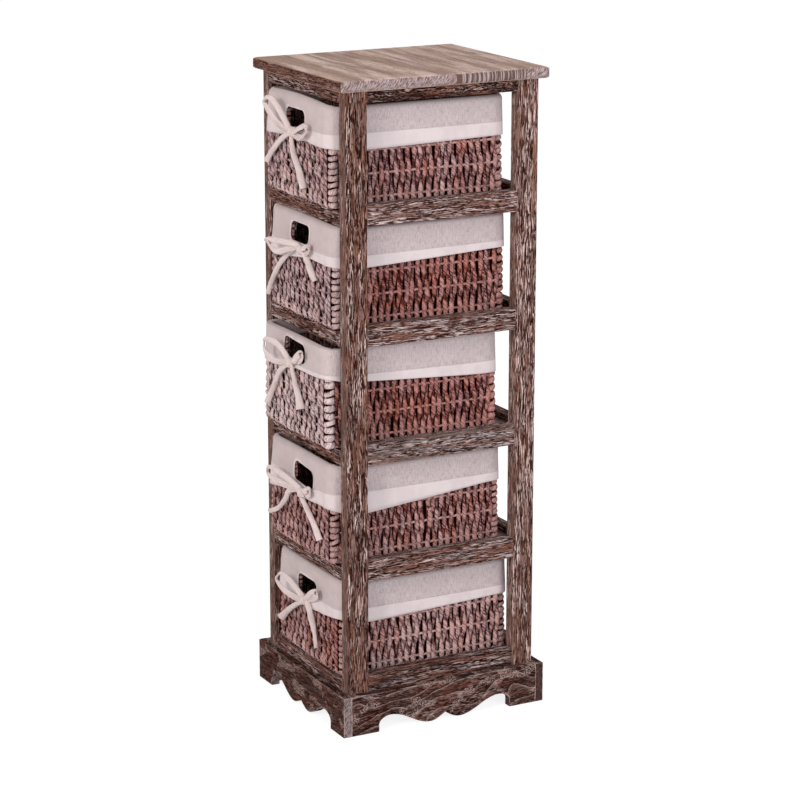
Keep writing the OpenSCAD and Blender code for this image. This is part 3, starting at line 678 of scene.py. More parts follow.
def on_wall(form, s, z, off):
    """Points of the wall at running length s and height z, off outwards from its outer face, and the outward
    directions there. The sides and the rear draw in steadily towards the floor, the corners draw in towards the
    rim, the front leans back above its middle, and the foot is a quarter circle."""
    s, z, off = np.broadcast_arrays(s, z, off)
    point, normal, inside = plan_at(s)
    up = z / basket_size()[2]
    taper = SIDE_TAPER * normal[..., 0] ** 2 + REAR_TAPER * np.maximum(normal[..., 1], 0) ** 2
    foot = FOOT_R - np.sqrt(np.maximum(FOOT_R ** 2 - np.maximum(FOOT_R - z, 0) ** 2, 0))
    lean = form.lean * np.maximum(-normal[..., 1], 0) ** 2 * np.clip(up / 0.5 - 1, 0, 1.1) ** 1.5
    inset = taper * (1 - up) + foot + inside * np.clip(up, 0, 1) ** 1.6 + lean
    place = point + normal * (off - inset)[..., None]
    flat = np.zeros(s.shape + (1,))
    return np.concatenate([place, z[..., None]], -1), np.concatenate([normal, flat], -1)


def from_front(s):
    """Running length from the middle of the front, up to half the plan's length to each side."""
    return np.mod(s - MIDDLES["front"] + PLAN_LENGTH / 2, PLAN_LENGTH) - PLAN_LENGTH / 2


def rim_height(form, s):
    """Height of the cloth's rim: level round the sides and rear, a cosine hump across the front, and a tilt that
    fades behind the front corners."""
    u = from_front(s)
    hump = form.rise * np.cos(np.pi / 2 * np.clip(np.abs(u) / 118, 0, 1)) ** 1.3
    tilt = form.tilt / 2 * np.clip(u / 90, -1, 1) * np.clip((170 - np.abs(u)) / 70, 0, 1)
    return basket_size()[2] + CLOTH_OUT - form.drop + hump + tilt


def hem_height(form, s):
    """Height of the cloth's outer hem: its measured heights joined by straight lines and rounded by a running
    mean of 30 mm."""
    side = MIDDLES["right"] - MIDDLES["front"]
    ahead = [(x, z) for x, z in form.hem] + [(side - 97, form.side_hem[0]), (side + 105, form.side_hem[1])]
    known = sorted([(-u, z) for u, z in ahead if u > 100] + ahead)
    u = np.arange(-PLAN_LENGTH / 2 - 20, PLAN_LENGTH / 2 + 20, 1.0)
    z = np.interp(u, [u for u, _ in known], [z for _, z in known])
    window = np.hanning(31)
    smooth = np.convolve(np.pad(z, 15, mode="edge"), window / window.sum(), mode="valid")
    return np.interp(from_front(s), u, smooth)


def wave(values, phases):
    """A smooth uneven wave of about one unit: three sines of falling height."""
    return (np.sin(values + phases) + 0.5 * np.sin(2.3 * values + 1.7 * phases)
            + 0.3 * np.sin(4.1 * values + phases)) / 1.5


# How a side is woven, in millimetres. Its upright cords stand pitch apart. They are width wide at the middle of a
# float, narrow times that where they dive, and swing out and in by swing, the flatter on their floats the larger
# flat is. Where they dive, neighbours lean together by pair, and every cord drifts by shares of its pitch. Its
# stakes lie rows apart from first upwards, stake outwards of the wall's middle, and are in shade within nub of
# their own middle.
Weaving = namedtuple("Weaving", "pitch rows width narrow swing flat pair drift first stake nub")
FOOT_GAP, RIM_GAP = 1.6, 6.5        # how far above the underside and below the cloth's rim the cords end


def hole_span(hole):
    """The heights between which the cords are cut at a hand hole."""
    return hole.z - hole.h / 2 - 1.5, hole.z + hole.h / 2 + 1.5


def woven_side(form, side, weaving, hue, light, rng, hole=None):
    """The upright cords of one side, the stakes that they weave through and a lining of flat cords behind. A cord's
    distance from the wall's middle is a flattened cosine of its height, in and out once in two rows, and its
    neighbour's is the opposite. It is widest at the middle of each float and narrow where it dives, and there
    neighbours swing together in pairs."""
    across_front = side in ("front", "rear")
    basket_w, basket_d, height = basket_size()
    half = (basket_w if across_front else basket_d) / 2 - 2 * COLUMN_R - 0.22 * weaving.width
    count = int(2 * half / weaving.pitch) + 1
    pitch = 2 * half / (count - 1)
    u = np.linspace(-half, half, count) + rng.normal(0, 0.03 * pitch, count)
    start = MIDDLES[side]
    low, high = np.full(count, FOOT_GAP), rim_height(form, start + u) - RIM_GAP
    order = np.arange(count)
    if hole:
        # A cord that meets the hole is cut in two
        cut = np.abs(u - hole.x) < hole.w / 2 + 2.5
        hole_low, hole_high = hole_span(hole)
        u, low, high, order = (np.concatenate([u, u[cut]]), np.concatenate([low, np.full(cut.sum(), hole_high)]),
                               np.concatenate([np.where(cut, hole_low, high), high[cut]]),
                               np.concatenate([order, order[cut]]))
    rings = int(height / (2.3 if across_front else 3.0))
    z = low[:, None] + (high - low)[:, None] * np.linspace(0, 1, rings)[None]
    shifts = rng.normal(0, 0.05, count)[order] * weaving.rows
    row = (z - weaving.first + (1.5 * wave(u / 60, rng.uniform(0, 6)) + shifts)[:, None]) / weaving.rows
    over = np.cos(np.pi * (row + order[:, None]))
    # The outermost cords of the front and rear run plain beside the corner columns
    plain = ((order == 0) | (order == count - 1)) & across_front
    over = np.where(plain[:, None], 0.7, np.tanh(weaving.flat * over) / np.tanh(weaving.flat))
    floats = rng.uniform(0, 1, (count, int(height / weaving.rows) + 4))
    nearest = np.clip(np.round(row).astype(int) + 1, 0, floats.shape[1] - 1)
    thick = floats[order[:, None], nearest]
    # Every cord drifts from row to row by its own steps
    drifts = rng.normal(0, weaving.drift * pitch, floats.shape)
    below = np.clip(np.floor(row).astype(int) + 1, 0, floats.shape[1] - 2)
    part = np.clip(row + 1 - below, 0, 1)
    drift = drifts[order[:, None], below] * (1 - part) + drifts[order[:, None], below + 1] * part
    # Under the cloth the cords keep below it
    free = np.clip((hem_height(form, start + u)[:, None] + 1 - z) / 6, 0, 1)
    swing = weaving.swing * (1 - 0.45 * (1 - free) * (over > 0)) * over + 0.5 * (thick - 0.5) * (over > 0) * free
    odd = np.where(order % 2 == 0, 1.0, -1.0)[:, None]
    crossing = 1 - np.abs(over)
    # At the foot the sides' cords splay in pairs
    splay = np.clip(1 - z / 16, 0, 1) ** 1.3 * 0.24 * pitch * odd * (not across_front)
    sway = (weaving.pair * odd * crossing + drift + splay + 0.06 * pitch * wave(z / 12, order[:, None] * 2.4)
            ) * ~plain[:, None]
    spread = np.where(plain[:, None], 0.75, weaving.narrow + (1 - weaving.narrow) * np.abs(over)
                      * (0.72 + 0.56 * thick))
    centre, out = on_wall(form, start + u[:, None] + sway, z, MIDDLE + swing)
    half_out = 2.0 * (0.75 + 0.25 * np.abs(over))
    # Floats are lighter or darker one by one, and painted lighter near the foot, as painted light on the lowest rows
    tone = np.clip(0.5 * thick + 0.5 * rng.uniform(0, 1, count)[order][:, None] + light
                   + 0.8 * np.clip(1 - z / 28, 0, 1), 0, 1.3)
    shade = np.clip(hue + 0.25 * (thick - 0.5) + 0.1 * rng.normal(0, 1, count)[order][:, None], 0, 1)
    # A cord's flanks and the lower of two cords lie in shade
    cords = tubes(centre, np.cross(out, UP), out, weaving.width / 2 * spread, half_out, 7, tone, shade, 0.4 * swing,
                  reach=0.4 * weaving.swing + 2.0)
    return [cords, stakes(form, start, half, weaving, hue, rng, hole),
            lining(form, start + u[:, None] + 0.5 * pitch, low, high, pitch, odd, hue, hole)]


def stakes(form, start, half, weaving, hue, rng, hole):
    """The level cords of a side, round and a little uneven in radius, left out where a hand hole is."""
    levels = np.arange(int((basket_size()[2] - 6 - weaving.first) / weaving.rows) + 1)
    levels = weaving.first + weaving.rows * levels
    if hole:
        hole_low, hole_high = hole_span(hole)
        levels = levels[(levels < hole_low) | (levels > hole_high)]
    s = np.linspace(-half - 2, half + 2, 70)[None]
    centre, out = on_wall(form, start + s, levels[:, None], MIDDLE + weaving.stake)
    radius = 2.2 + 0.3 * wave(s * 1.4, np.arange(len(levels))[:, None])
    return tubes(centre, np.broadcast_to(UP, out.shape), out, radius, radius, 6,
                 rng.uniform(0.5, 0.9, (len(levels), 1)), hue, reach=weaving.nub)


def lining(form, s, low, high, pitch, odd, hue, hole):
    """Flat upright cords at running lengths s, behind the woven ones, so that no light shows between these. They are
    painted pale, as painted light inside the basket, and dark on their outer faces, as painted shade behind the
    cords.
    Those that would reach into a hand hole are left out."""
    half_w = 0.62 * pitch
    z = low[:, None] + (high - low)[:, None] * np.linspace(0, 1, 24)[None]
    centre, out = on_wall(form, s, z, MIDDLE - 2.1 + 0.15 * odd)
    if hole:
        hole_low, hole_high = hole_span(hole)
        kept = np.abs(s[:, 0] - MIDDLES["front"] - hole.x) > hole.w / 2 + half_w
        kept |= (high < hole_low + 1) | (low > hole_high - 1)
        centre, out, z = centre[kept], out[kept], z[kept]
    # Tone 1 paints them pale as painted light inside; lift and reach paint their outer faces with painted shade
    return tubes(centre, np.cross(out, UP), out, np.full(z.shape, half_w), np.full(z.shape, 0.45), 6, 1.0,
                 0.5 * hue, -0.3, 1.3)


def knuckles(form, s, low, high, off, pitch, radius, tone, hue, rng):
    """Cord wound round an upright stake, from low to high: one closed ring above the other, each tilted a little.
    Every fourth ring is wider and slants more. radius is a ring's, and off its middle's place in the wall."""
    count = int((high - low) / pitch)
    thick = min(pitch, KNUCKLE_MAX)
    angle = np.linspace(0, 2 * np.pi, 13)[None, :-1]
    z = low + np.arange(count)[:, None] * pitch + rng.normal(0, 0.04 * pitch, (count, 1))
    middle, out = on_wall(form, np.full((count, 1), s), z, off)
    along = np.cross(UP, out)
    wide = (np.arange(count) % 4 == 3)[:, None]
    tilt = rng.normal(0.1, 0.12, (count, 1)) + np.where(wide, 0.34, 0.0)
    radius = np.where(wide, 1.24, 1.0) * radius + rng.normal(0, 0.15, (count, 1))
    cos, sin = np.cos(angle), np.sin(angle)
    radial = out * cos[..., None] + along * sin[..., None]
    centre = middle + radial * radius[..., None] + UP * (radius * tilt * sin)[..., None]
    body = 0.9 + 0.1 * np.cos(2 * angle + rng.uniform(0, 6, (count, 1)))
    half_up = np.where(wide, 0.45, 0.56) * pitch * body
    half_out = np.where(wide, 0.33, 0.41) * thick * np.ones_like(angle)
    tone = np.clip(rng.uniform(0.6, 1.1, (count, 1)) + tone, 0, 1.3)
    return tubes(centre, np.broadcast_to(UP, radial.shape), radial, half_up, half_out, 8, tone, hue,
                 reach=0.18 * thick, twist=9.0, closed=True)


def corner_columns(form, hues, light, rng):
    """A column of knuckles on each corner."""
    grown = 1 + 0.4 * light
    pitch = bpy.context.scene.chest_weave.knuckle_pitch / MM * grown
    return [knuckles(form, s, 0.56 * pitch + 1.1, rim_height(form, s) - 5.2, -COLUMN_R, pitch, 3.8 * grown, light,
                     hue, rng) for s, hue in zip(CORNERS, hues)]


def bound_hole(form, rng):
    """The hand hole's upright edges in the weave, bound with small knuckles."""
    hole = form.hole
    return [knuckles(form, MIDDLES["front"] + hole.x + end * (hole.w / 2 + 1.5), hole.z - hole.h / 2,
                     hole.z + hole.h / 2 + 4, MIDDLE, 6.0, 1.6, -0.3, 0.6, rng) for end in (-1, 1)]


def foot_rope(form, hue, rng):
    """A rope of two strands round the foot: each strand winds round the rope's middle line."""
    s = np.linspace(0, PLAN_LENGTH, 361)[None, :-1]
    wind = 2 * np.pi * s / (PLAN_LENGTH / 60) + np.array([[0], [np.pi]])
    s = np.broadcast_to(s, wind.shape)
    centre, out = on_wall(form, s, 4.2 + 1.5 * np.sin(wind), -2.9 + 1.2 * np.cos(wind))
    up = np.broadcast_to(UP, out.shape)
    radius = 1.9 + 0.2 * wave(s / 15, 0.0)
    return tubes(centre, up, out, radius, radius, 6, rng.uniform(0, 0.5, (2, 1)), hue, closed=True)


def woven_floor(hue, rng):
    """The floor: cords from front to rear that rise and dip over cross cords as a cosine of their length."""
    basket_w, basket_d, _ = basket_size()
    half_x, half_y = basket_w / 2 - SIDE_TAPER - 6, basket_d / 2 - 8
    x = np.arange(-half_x, half_x, 5.6)
    y = np.linspace(-half_y, half_y - REAR_TAPER, 40)
    order = np.arange(len(x))[:, None]
    over = np.cos(np.pi * (y[None] / 22 + order))
    centre = np.stack(np.broadcast_arrays(x[:, None], y[None], 3.2 + 0.9 * over), -1)
    ones = np.ones(over.shape)
    west, up = np.broadcast_to([-1.0, 0, 0], centre.shape), np.broadcast_to(UP, centre.shape)
    run = tubes(centre, west, up, 2.2 + 0.8 * np.abs(over), 1.4 * ones, 6, rng.uniform(0, 1, (len(x), 1)), hue,
                lift=0.9 * over, reach=2.3)
    y = np.arange(-half_y + 6, half_y - REAR_TAPER, 22)
    x = np.linspace(-half_x, half_x, 12)
    centre = np.stack(np.broadcast_arrays(x[None], y[:, None], np.full((len(y), 12), 3.2)), -1)
    ones = np.ones(centre.shape[:2])
    north, up = np.broadcast_to([0, 1.0, 0], centre.shape), np.broadcast_to(UP, centre.shape)
    cross = tubes(centre, north, up, 1.6 * ones, 1.3 * ones, 6, rng.uniform(0, 1, (len(y), 1)), hue)
    return [run, cross]


# Form of a liner


def hole_scale(x, z, half_w, half_h, radius):
    """How much a point on the rectangle half_w x half_h moves in along its radius to lie on the rectangle with
    rounded corners: found by halving the interval, on whole arrays."""
    low, high = np.full(x.shape, 0.5), np.full(x.shape, 1.0)
    for _ in range(24):
        k = (low + high) / 2
        qx, qz = np.abs(k * x) - half_w + radius, np.abs(k * z) - half_h + radius
        away = np.hypot(np.maximum(qx, 0), np.maximum(qz, 0)) + np.minimum(np.maximum(qx, qz), 0) - radius
        low, high = np.where(away < 0, k, low), np.where(away < 0, high, k)
    return (low + high) / 2


def steps(*stretches):
    """Numbers along a line: each stretch is (from, to, about how far apart)."""
    parts = [np.linspace(a, b, max(2, int(round(abs(b - a) / d)) + 1))[:-1] for a, b, d in stretches]
    return np.concatenate(parts + [[stretches[-1][1]]])


RIM_IN = 4.0        # height of the rim's inner rounding
CROWN = -4.3        # the rim's highest line, outwards from the weave's outer face
CLOTH_OFF = 1.5     # the cloth's middle outside the weave, outwards from the weave's outer face
CLOTH_IN = -WALL - 1.15     # the same inside the weave


def liner_profile(low, inner_low, top, hole_low, hole_high, rim_out):
    """The cloth's section from its outer edge over the rim to its inner edge: upright lines joined by two quarter
    ellipses. Returns offsets from the weave's outer face and heights."""
    up = steps((low, hole_low, 1.6), (hole_low, hole_high, 2.0), (hole_high, top - rim_out, 1.6))
    over = np.radians(np.linspace(0, 90, 9)[1:])
    back = np.radians(np.linspace(90, 180, 7)[1:])
    down = steps((top - RIM_IN, hole_high, 1.6), (hole_high, inner_low, 2.0))[1:]
    off = np.concatenate([np.full(len(up), CLOTH_OFF), CROWN + (CLOTH_OFF - CROWN) * np.cos(over),
                          CROWN + (CROWN - CLOTH_IN) * np.cos(back), np.full(len(down), CLOTH_IN)])
    z = np.concatenate([up, top - rim_out + rim_out * np.sin(over), top - RIM_IN + RIM_IN * np.sin(back), down])
    return off, z


def hole_skew(hole, u, fade):
    """How far the cloth near a skewed hand hole is drawn up or down, most at the hole's right end."""
    return hole.skew * np.clip((u - hole.x) / (hole.w / 2) + 0.3, -0.3, 1.2) * fade


def liner_surface(form, knot, rng):
    """A liner as a grid: columns run round the basket and rows follow the section. The hand hole is a block of
    cells left out, and the rows and columns round it are drawn onto its rounded outline. Below the hole the rows
    spread down to the uneven hem and above it they rise to the uneven rim. Folds and puckers push the cloth
    outwards by smooth waves."""
    liner, hole = bpy.context.scene.chest_liner, form.hole
    edge = rim_height(form, MIDDLES["front"])
    top = edge - 0.5 * liner.thickness / MM
    low, inner_low = edge - liner.flap_h / MM, edge - liner.inner_flap_h / MM
    half_w, half_h = hole.w / 2, hole.h / 2
    hole_low, hole_high = hole.z - half_h, hole.z + half_h
    off, z = liner_profile(low, inner_low, top, hole_low, hole_high, min(10.0, 0.75 * (top - hole_high)))
    s = MIDDLES["front"] + hole.x + steps((-half_w, half_w, 2.4), (half_w, half_w + 50, 2.4),
                                          (half_w + 50, PLAN_LENGTH - half_w - 50, 3.2),
                                          (PLAN_LENGTH - half_w - 50, PLAN_LENGTH - half_w, 2.4))[:-1]
    u = from_front(s)
    rows, columns = len(z), len(s)
    U, Z = np.meshgrid(u, z)
    OFF = np.broadcast_to(off[:, None], Z.shape)
    outer = OFF > 0
    upright = (np.abs(OFF - off[0]) < 1e-6) | (np.abs(OFF - off[-1]) < 1e-6)
    # The block of the hole
    x, dz = U - hole.x, Z - hole.z
    m = np.maximum(np.maximum(np.abs(x) / half_w, np.abs(dz) / half_h), 1e-6)
    k = hole_scale(x / m, dz / m, half_w, half_h, liner.hole_r / MM)
    fade = np.clip(1 - (m - 1) / 0.55, 0, 1)
    fade = fade ** 2 * (3 - 2 * fade) * upright
    scale = 1 + (k - 1) * fade
    U2, Z2 = hole.x + x * scale, hole.z + dz * scale
    # Rim and hem
    rise = np.clip((Z - hole_high) / (top - hole_high), 0, 1)
    drop = np.clip((hole_low - Z) / (hole_low - low), 0, 1)
    Z2 = Z2 + (rim_height(form, s) - edge)[None] * rise + (hem_height(form, s) - low)[None] * drop * outer
    Z2 = Z2 + hole_skew(hole, U2, fade)
    # Slow folds all over, two creases down the front's right end, loose folds at the front corners and eight
    # puckers that run out from the knot
    hang = drop + 0.25 * (1 - rise)
    folds = 0.3 + 0.35 * wave(U / 14, rng.uniform(0, 6)) * wave(Z / 30, rng.uniform(0, 6))
    crease = np.exp(-((U - 84 - 0.06 * (Z - 80)) / 3.2) ** 2) + 0.7 * np.exp(-((U - 92) / 3) ** 2)
    folds = folds + 0.9 * crease * np.clip((128 - Z) / 30, 0, 1)
    corner = np.exp(-((np.abs(U) - 101) / 15) ** 2)
    folds = folds + 0.5 * corner * (1 + wave(U / 6 + Z / 40, rng.uniform(0, 6))) * hang
    away = np.hypot(U - knot.x, Z - knot.z)
    ray = np.arctan2(Z - knot.z, U - knot.x)
    front = np.abs(U) < 110
    folds = folds + 0.9 * (1 + np.cos(8 * ray + rng.uniform(0, 6))) * np.exp(-(away / 24) ** 2) * (away > 2) * front
    room = np.where(front, 3.5, 0.95)
    folds = room * np.tanh(np.maximum(folds, 0) / room)
    points, _ = on_wall(form, MIDDLES["front"] + U2, Z2, OFF + np.where(outer, folds, 0))
    # A cell is left out if its middle lies in the hole
    faces = lattice(1, rows, columns)
    mid = [np.asarray(a, float).reshape(-1)[faces] for a in (x, dz, upright)]
    wraps = np.ptp(mid[0], axis=1) > PLAN_LENGTH / 2
    inside = ((np.abs(mid[0].mean(1)) < half_w) & (np.abs(mid[1].mean(1)) < half_h) & mid[2].all(1) & ~wraps)
    faces = faces[~inside]
    # The flat cloth: U runs round, V up from the outer hem
    ring = np.concatenate([[0], np.cumsum(np.hypot(np.diff(off), np.diff(z)))])
    V = np.broadcast_to(ring[:, None], U.shape).reshape(-1)
    flat_u = np.broadcast_to((s - s[0])[None], U.shape).reshape(-1)[faces]
    flat_u = np.where((np.ptp(flat_u, axis=1) > PLAN_LENGTH / 2)[:, None] & (flat_u < PLAN_LENGTH / 2),
                      flat_u + PLAN_LENGTH, flat_u)
    uv = np.stack([flat_u, V[faces]], -1).reshape(-1, 2)
    return Surface(points.reshape(-1, 3), [faces], None, None, None, None), uv, ring[-1]


def hole_edge(form):
    """The turned edge of the hand hole: a flat cord along its rounded outline, just outside the cloth."""
    hole = form.hole
    half_w, half_h, radius = hole.w / 2, hole.h / 2, bpy.context.scene.chest_liner.hole_r / MM
    a = np.linspace(0, 2 * np.pi, 161)[:-1]
    x, z = np.cos(a), np.sin(a)
    m = np.maximum(np.abs(x) / half_w, np.abs(z) / half_h)
    x, z = x / m, z / m
    k = hole_scale(x, z, half_w, half_h, radius)
    u = hole.x + x * k
    height = hole.z + z * k + hole_skew(hole, u, 1.0)
    centre, out = on_wall(form, MIDDLES["front"] + u[None], height[None], CLOTH_OFF - 0.1)
    tangent = unit(np.roll(centre, -1, 1) - np.roll(centre, 1, 1))
    ones = np.ones(centre.shape[:2])
    return tubes(centre, np.cross(out, tangent), out, 2.3 * ones, 1.0 * ones, 8, 0.0, 0.0, closed=True)


# Ribbons

Bow = namedtuple("Bow", "x z left_loop right_loop left_tail right_tail left_widths right_widths band")

# The knot's place on the front, to the right and up, and from it the middle lines of each bow's tape, in
# millimetres: to the right, forwards and up. Widths are shares of the tape's, from the knot to the tail's end, and
# band is the size of the turn round the knot.
BOWS = [
    Bow(9, 93,
        [(-7, 7, 3), (-18, 10, 16), (-32, 14, 32), (-41, 18, 40), (-53, 20, 38), (-58, 20, 32), (-51, 16, 21),
         (-39, 11, 8), (-14, 7, -1)],
        [(10, 8, 2), (33, 9, 11), (46, 9, 12), (44, 8, 5), (26, 7, -4), (6, 6, -3)],
        [(-21, 5, -7), (-44, 5, -19), (-67, 5, -36), (-86, 5, -53)],
        [(-8, 4, -11), (-4, 3, -30), (12, 3, -50), (26, 3, -73)],
        (0.4, 0.65, 0.7, 0.65, 0.75), (0.4, 0.55, 0.7, 0.85, 0.95), 8),
    Bow(23, 98,
        [(-12, 8, 5), (-32, 14, 6), (-57, 20, 5), (-73, 24, 2), (-69, 24, -1), (-57, 21, -9), (-44, 16, -8),
         (-16, 8, 1)],
        [(8, 8, 4), (22, 8, 8), (24, 7, 3), (12, 6, -2)],
        [(-22, 6, -2), (-51, 6, -18), (-77, 5, -37), (-98, 5, -61), (-111, 5, -82)],
        [(6, 5, -4), (14, 4, -13), (24, 4, -25), (36, 4, -36)],
        (0.4, 0.6, 0.65, 0.65, 0.65), (0.5, 0.7, 0.8, 0.85, 0.6), 7),
    Bow(13, 105,
        [(-4, 8, 4), (-18, 12, 17), (-34, 16, 24), (-51, 20, 23), (-55, 21, 13), (-51, 19, 3), (-39, 14, -4),
         (-10, 7, -2)],
        [(12, 8, 4), (25, 9, 14), (35, 9, 21), (36, 8, 17), (20, 6, 5)],
        [(-12, 6, -5), (-37, 6, -20), (-58, 5, -45), (-80, 5, -75)],
        [(1, 5, -10), (8, 4, -28), (18, 4, -44), (24, 4, -60)],
        (0.4, 0.65, 0.65, 0.65, 0.85), (0.4, 0.5, 0.65, 0.9, 1.2), 8),
    Bow(30, 88,
        [(-4, 8, 5), (-28, 12, 12), (-50, 17, 18), (-74, 20, 19), (-82, 21, 11), (-74, 18, 4), (-51, 13, 1),
         (-14, 7, 1)],
        [(10, 8, 4), (22, 8, 10), (24, 7, 6), (12, 6, -1)],
        [(-16, 7, 0), (-39, 8, -8), (-49, 8, -21), (-76, 7, -42), (-106, 7, -55)],
        [(-4, 5, -8), (12, 4, -22), (32, 4, -38), (49, 4, -55)],
        (0.4, 0.65, 0.7, 0.6, 0.65), (0.4, 0.6, 0.7, 0.75, 0.85), 8),
    Bow(10, 88,
        [(-2, 8, 4), (-18, 12, 15), (-34, 16, 24), (-47, 20, 27), (-58, 22, 18), (-57, 17, 6), (-41, 12, -1),
         (-14, 7, -3)],
        [(12, 8, 8), (28, 9, 19), (42, 9, 25), (40, 8, 18), (20, 6, 6)],
        [(-14, 6, -7), (-41, 6, -22), (-60, 6, -35), (-79, 6, -50)],
        [(8, 5, -5), (16, 4, -21), (25, 4, -40), (31, 4, -61)],
        (0.45, 0.6, 0.7, 0.85, 1.2), (0.6, 0.8, 0.85, 0.55, 0.45), 8),
]
SHOWN = np.array([0.86, -0.47, 0.2])     # the way that the tapes' flat sides look


def smooth_path(points, count):
    """Points spaced evenly by number along a Catmull-Rom curve through the given ones."""
    p = np.array(points, float)
    p = np.concatenate([2 * p[:1] - p[1:2], p, 2 * p[-1:] - p[-2:-1]])
    t = np.linspace(0, len(points) - 1 - 1e-9, count)
    i = t.astype(int)
    f = (t - i)[:, None]
    a, b, c, d = p[i], p[i + 1], p[i + 2], p[i + 3]
    return 0.5 * (2 * b + (c - a) * f + (2 * a - 5 * b + 4 * c - d) * f ** 2 + (3 * b - a - 3 * c + d) * f ** 3)


def tape(points, breadth, widths, turns, axis=None):
    """A tape along a smooth path. At each point it spreads across axis, or else across its own course, flat to the
    way that it is shown, and then turned about its course by turns, in degrees, given evenly along it. It is
    cupped a little and its edges wander."""
    count, columns = 16 + 7 * len(points), 7
    path = smooth_path(points, count) * np.array([1, -1, 1])
    tangent = unit(np.gradient(path, axis=0))
    shown = unit(SHOWN)
    along = tangent if axis is None else np.broadcast_to(unit(np.array(axis, float)), tangent.shape)
    t = np.linspace(0, 1, count)
    turn = np.radians(np.interp(t, np.linspace(0, 1, len(turns)), turns))[:, None]
    spread = unit(np.cross(along, shown)) * np.cos(turn) + shown * np.sin(turn)
    spread = unit(spread - (spread * tangent).sum(1)[:, None] * tangent)
    normal = np.cross(spread, tangent)
    run = np.concatenate([[0], np.cumsum(np.linalg.norm(np.diff(path, axis=0), axis=1))])
    width = breadth * np.interp(t, np.linspace(0, 1, len(widths)), widths) * (1 + 0.05 * wave(run / 5, 1.0))
    v = np.linspace(-0.5, 0.5, columns)
    cup = 0.16 * width[:, None] * (0.25 - v[None] ** 2) * 4 + 0.35 * wave(run[:, None] / 7 + 2.5 * v[None], 2.0)
    grid = path[:, None] + spread[:, None] * (width[:, None] * v[None])[..., None] + normal[:, None] * cup[..., None]
    faces = lattice(1, count, columns, closed_columns=False)
    uv = np.stack(np.broadcast_arrays(width[:, None] * v[None], run[:, None]), -1).reshape(-1, 2)[faces]
    return Surface(grid.reshape(-1, 3), [faces], None, None, None, None), uv.reshape(-1, 2), run[-1]


def knot_band(reach):
    """The turn of tape round a bow's middle: a little over a full turn of an ellipse, seen from the side."""
    a = np.radians(np.linspace(-110, 265, 12))
    return [(0.12 * i, 5.2 + 4.2 * math.cos(b), reach * 0.62 * math.sin(b)) for i, b in enumerate(a)]


def bow_surfaces(form, bow, breadth):
    """The two loops, two tails and knot of a bow, in the basket's millimetres, each with its flat cloth's map and
    its length."""
    heart = (0, 5, 0)
    left = np.mean(bow.left_loop, axis=0) * (1, -1, 1)
    right = np.mean(bow.right_loop, axis=0) * (1, -1, 1)
    loop = (0.45, 0.8, 0.85, 0.8, 0.85, 0.8, 0.45)
    parts = [tape([heart, *bow.left_loop, heart], breadth, loop, (15, 8, 20, 80, 35, -5, 5), left),
             tape([heart, *bow.right_loop, heart], breadth, loop, (10, 0, 15, 75, 30, 0, 0), right),
             tape([heart, *bow.left_tail], breadth, bow.left_widths, (20, 5, -10, 15, 0)),
             tape([heart, *bow.right_tail], breadth, bow.right_widths, (-20, -5, 10, -12, 5)),
             tape(knot_band(bow.band), breadth, (0.8, 0.8), (0,), axis=(0, 0, 1))]
    face, _ = on_wall(form, MIDDLES["front"] + bow.x, bow.z, CLOTH_OFF + 0.5)
    return [(surface._replace(points=surface.points + face), uv, run) for surface, uv, run in parts]


def solid(piece, thickness):
    """Gives a sheet its thickness."""
    made = piece.modifiers.new("thickness", "SOLIDIFY")
    made.thickness = thickness
    made.offset = 0
    made.use_even_offset = False


# Operators


class ChestOperator:
    """Options of all the operators"""
    bl_options = {"REGISTER", "UNDO"}


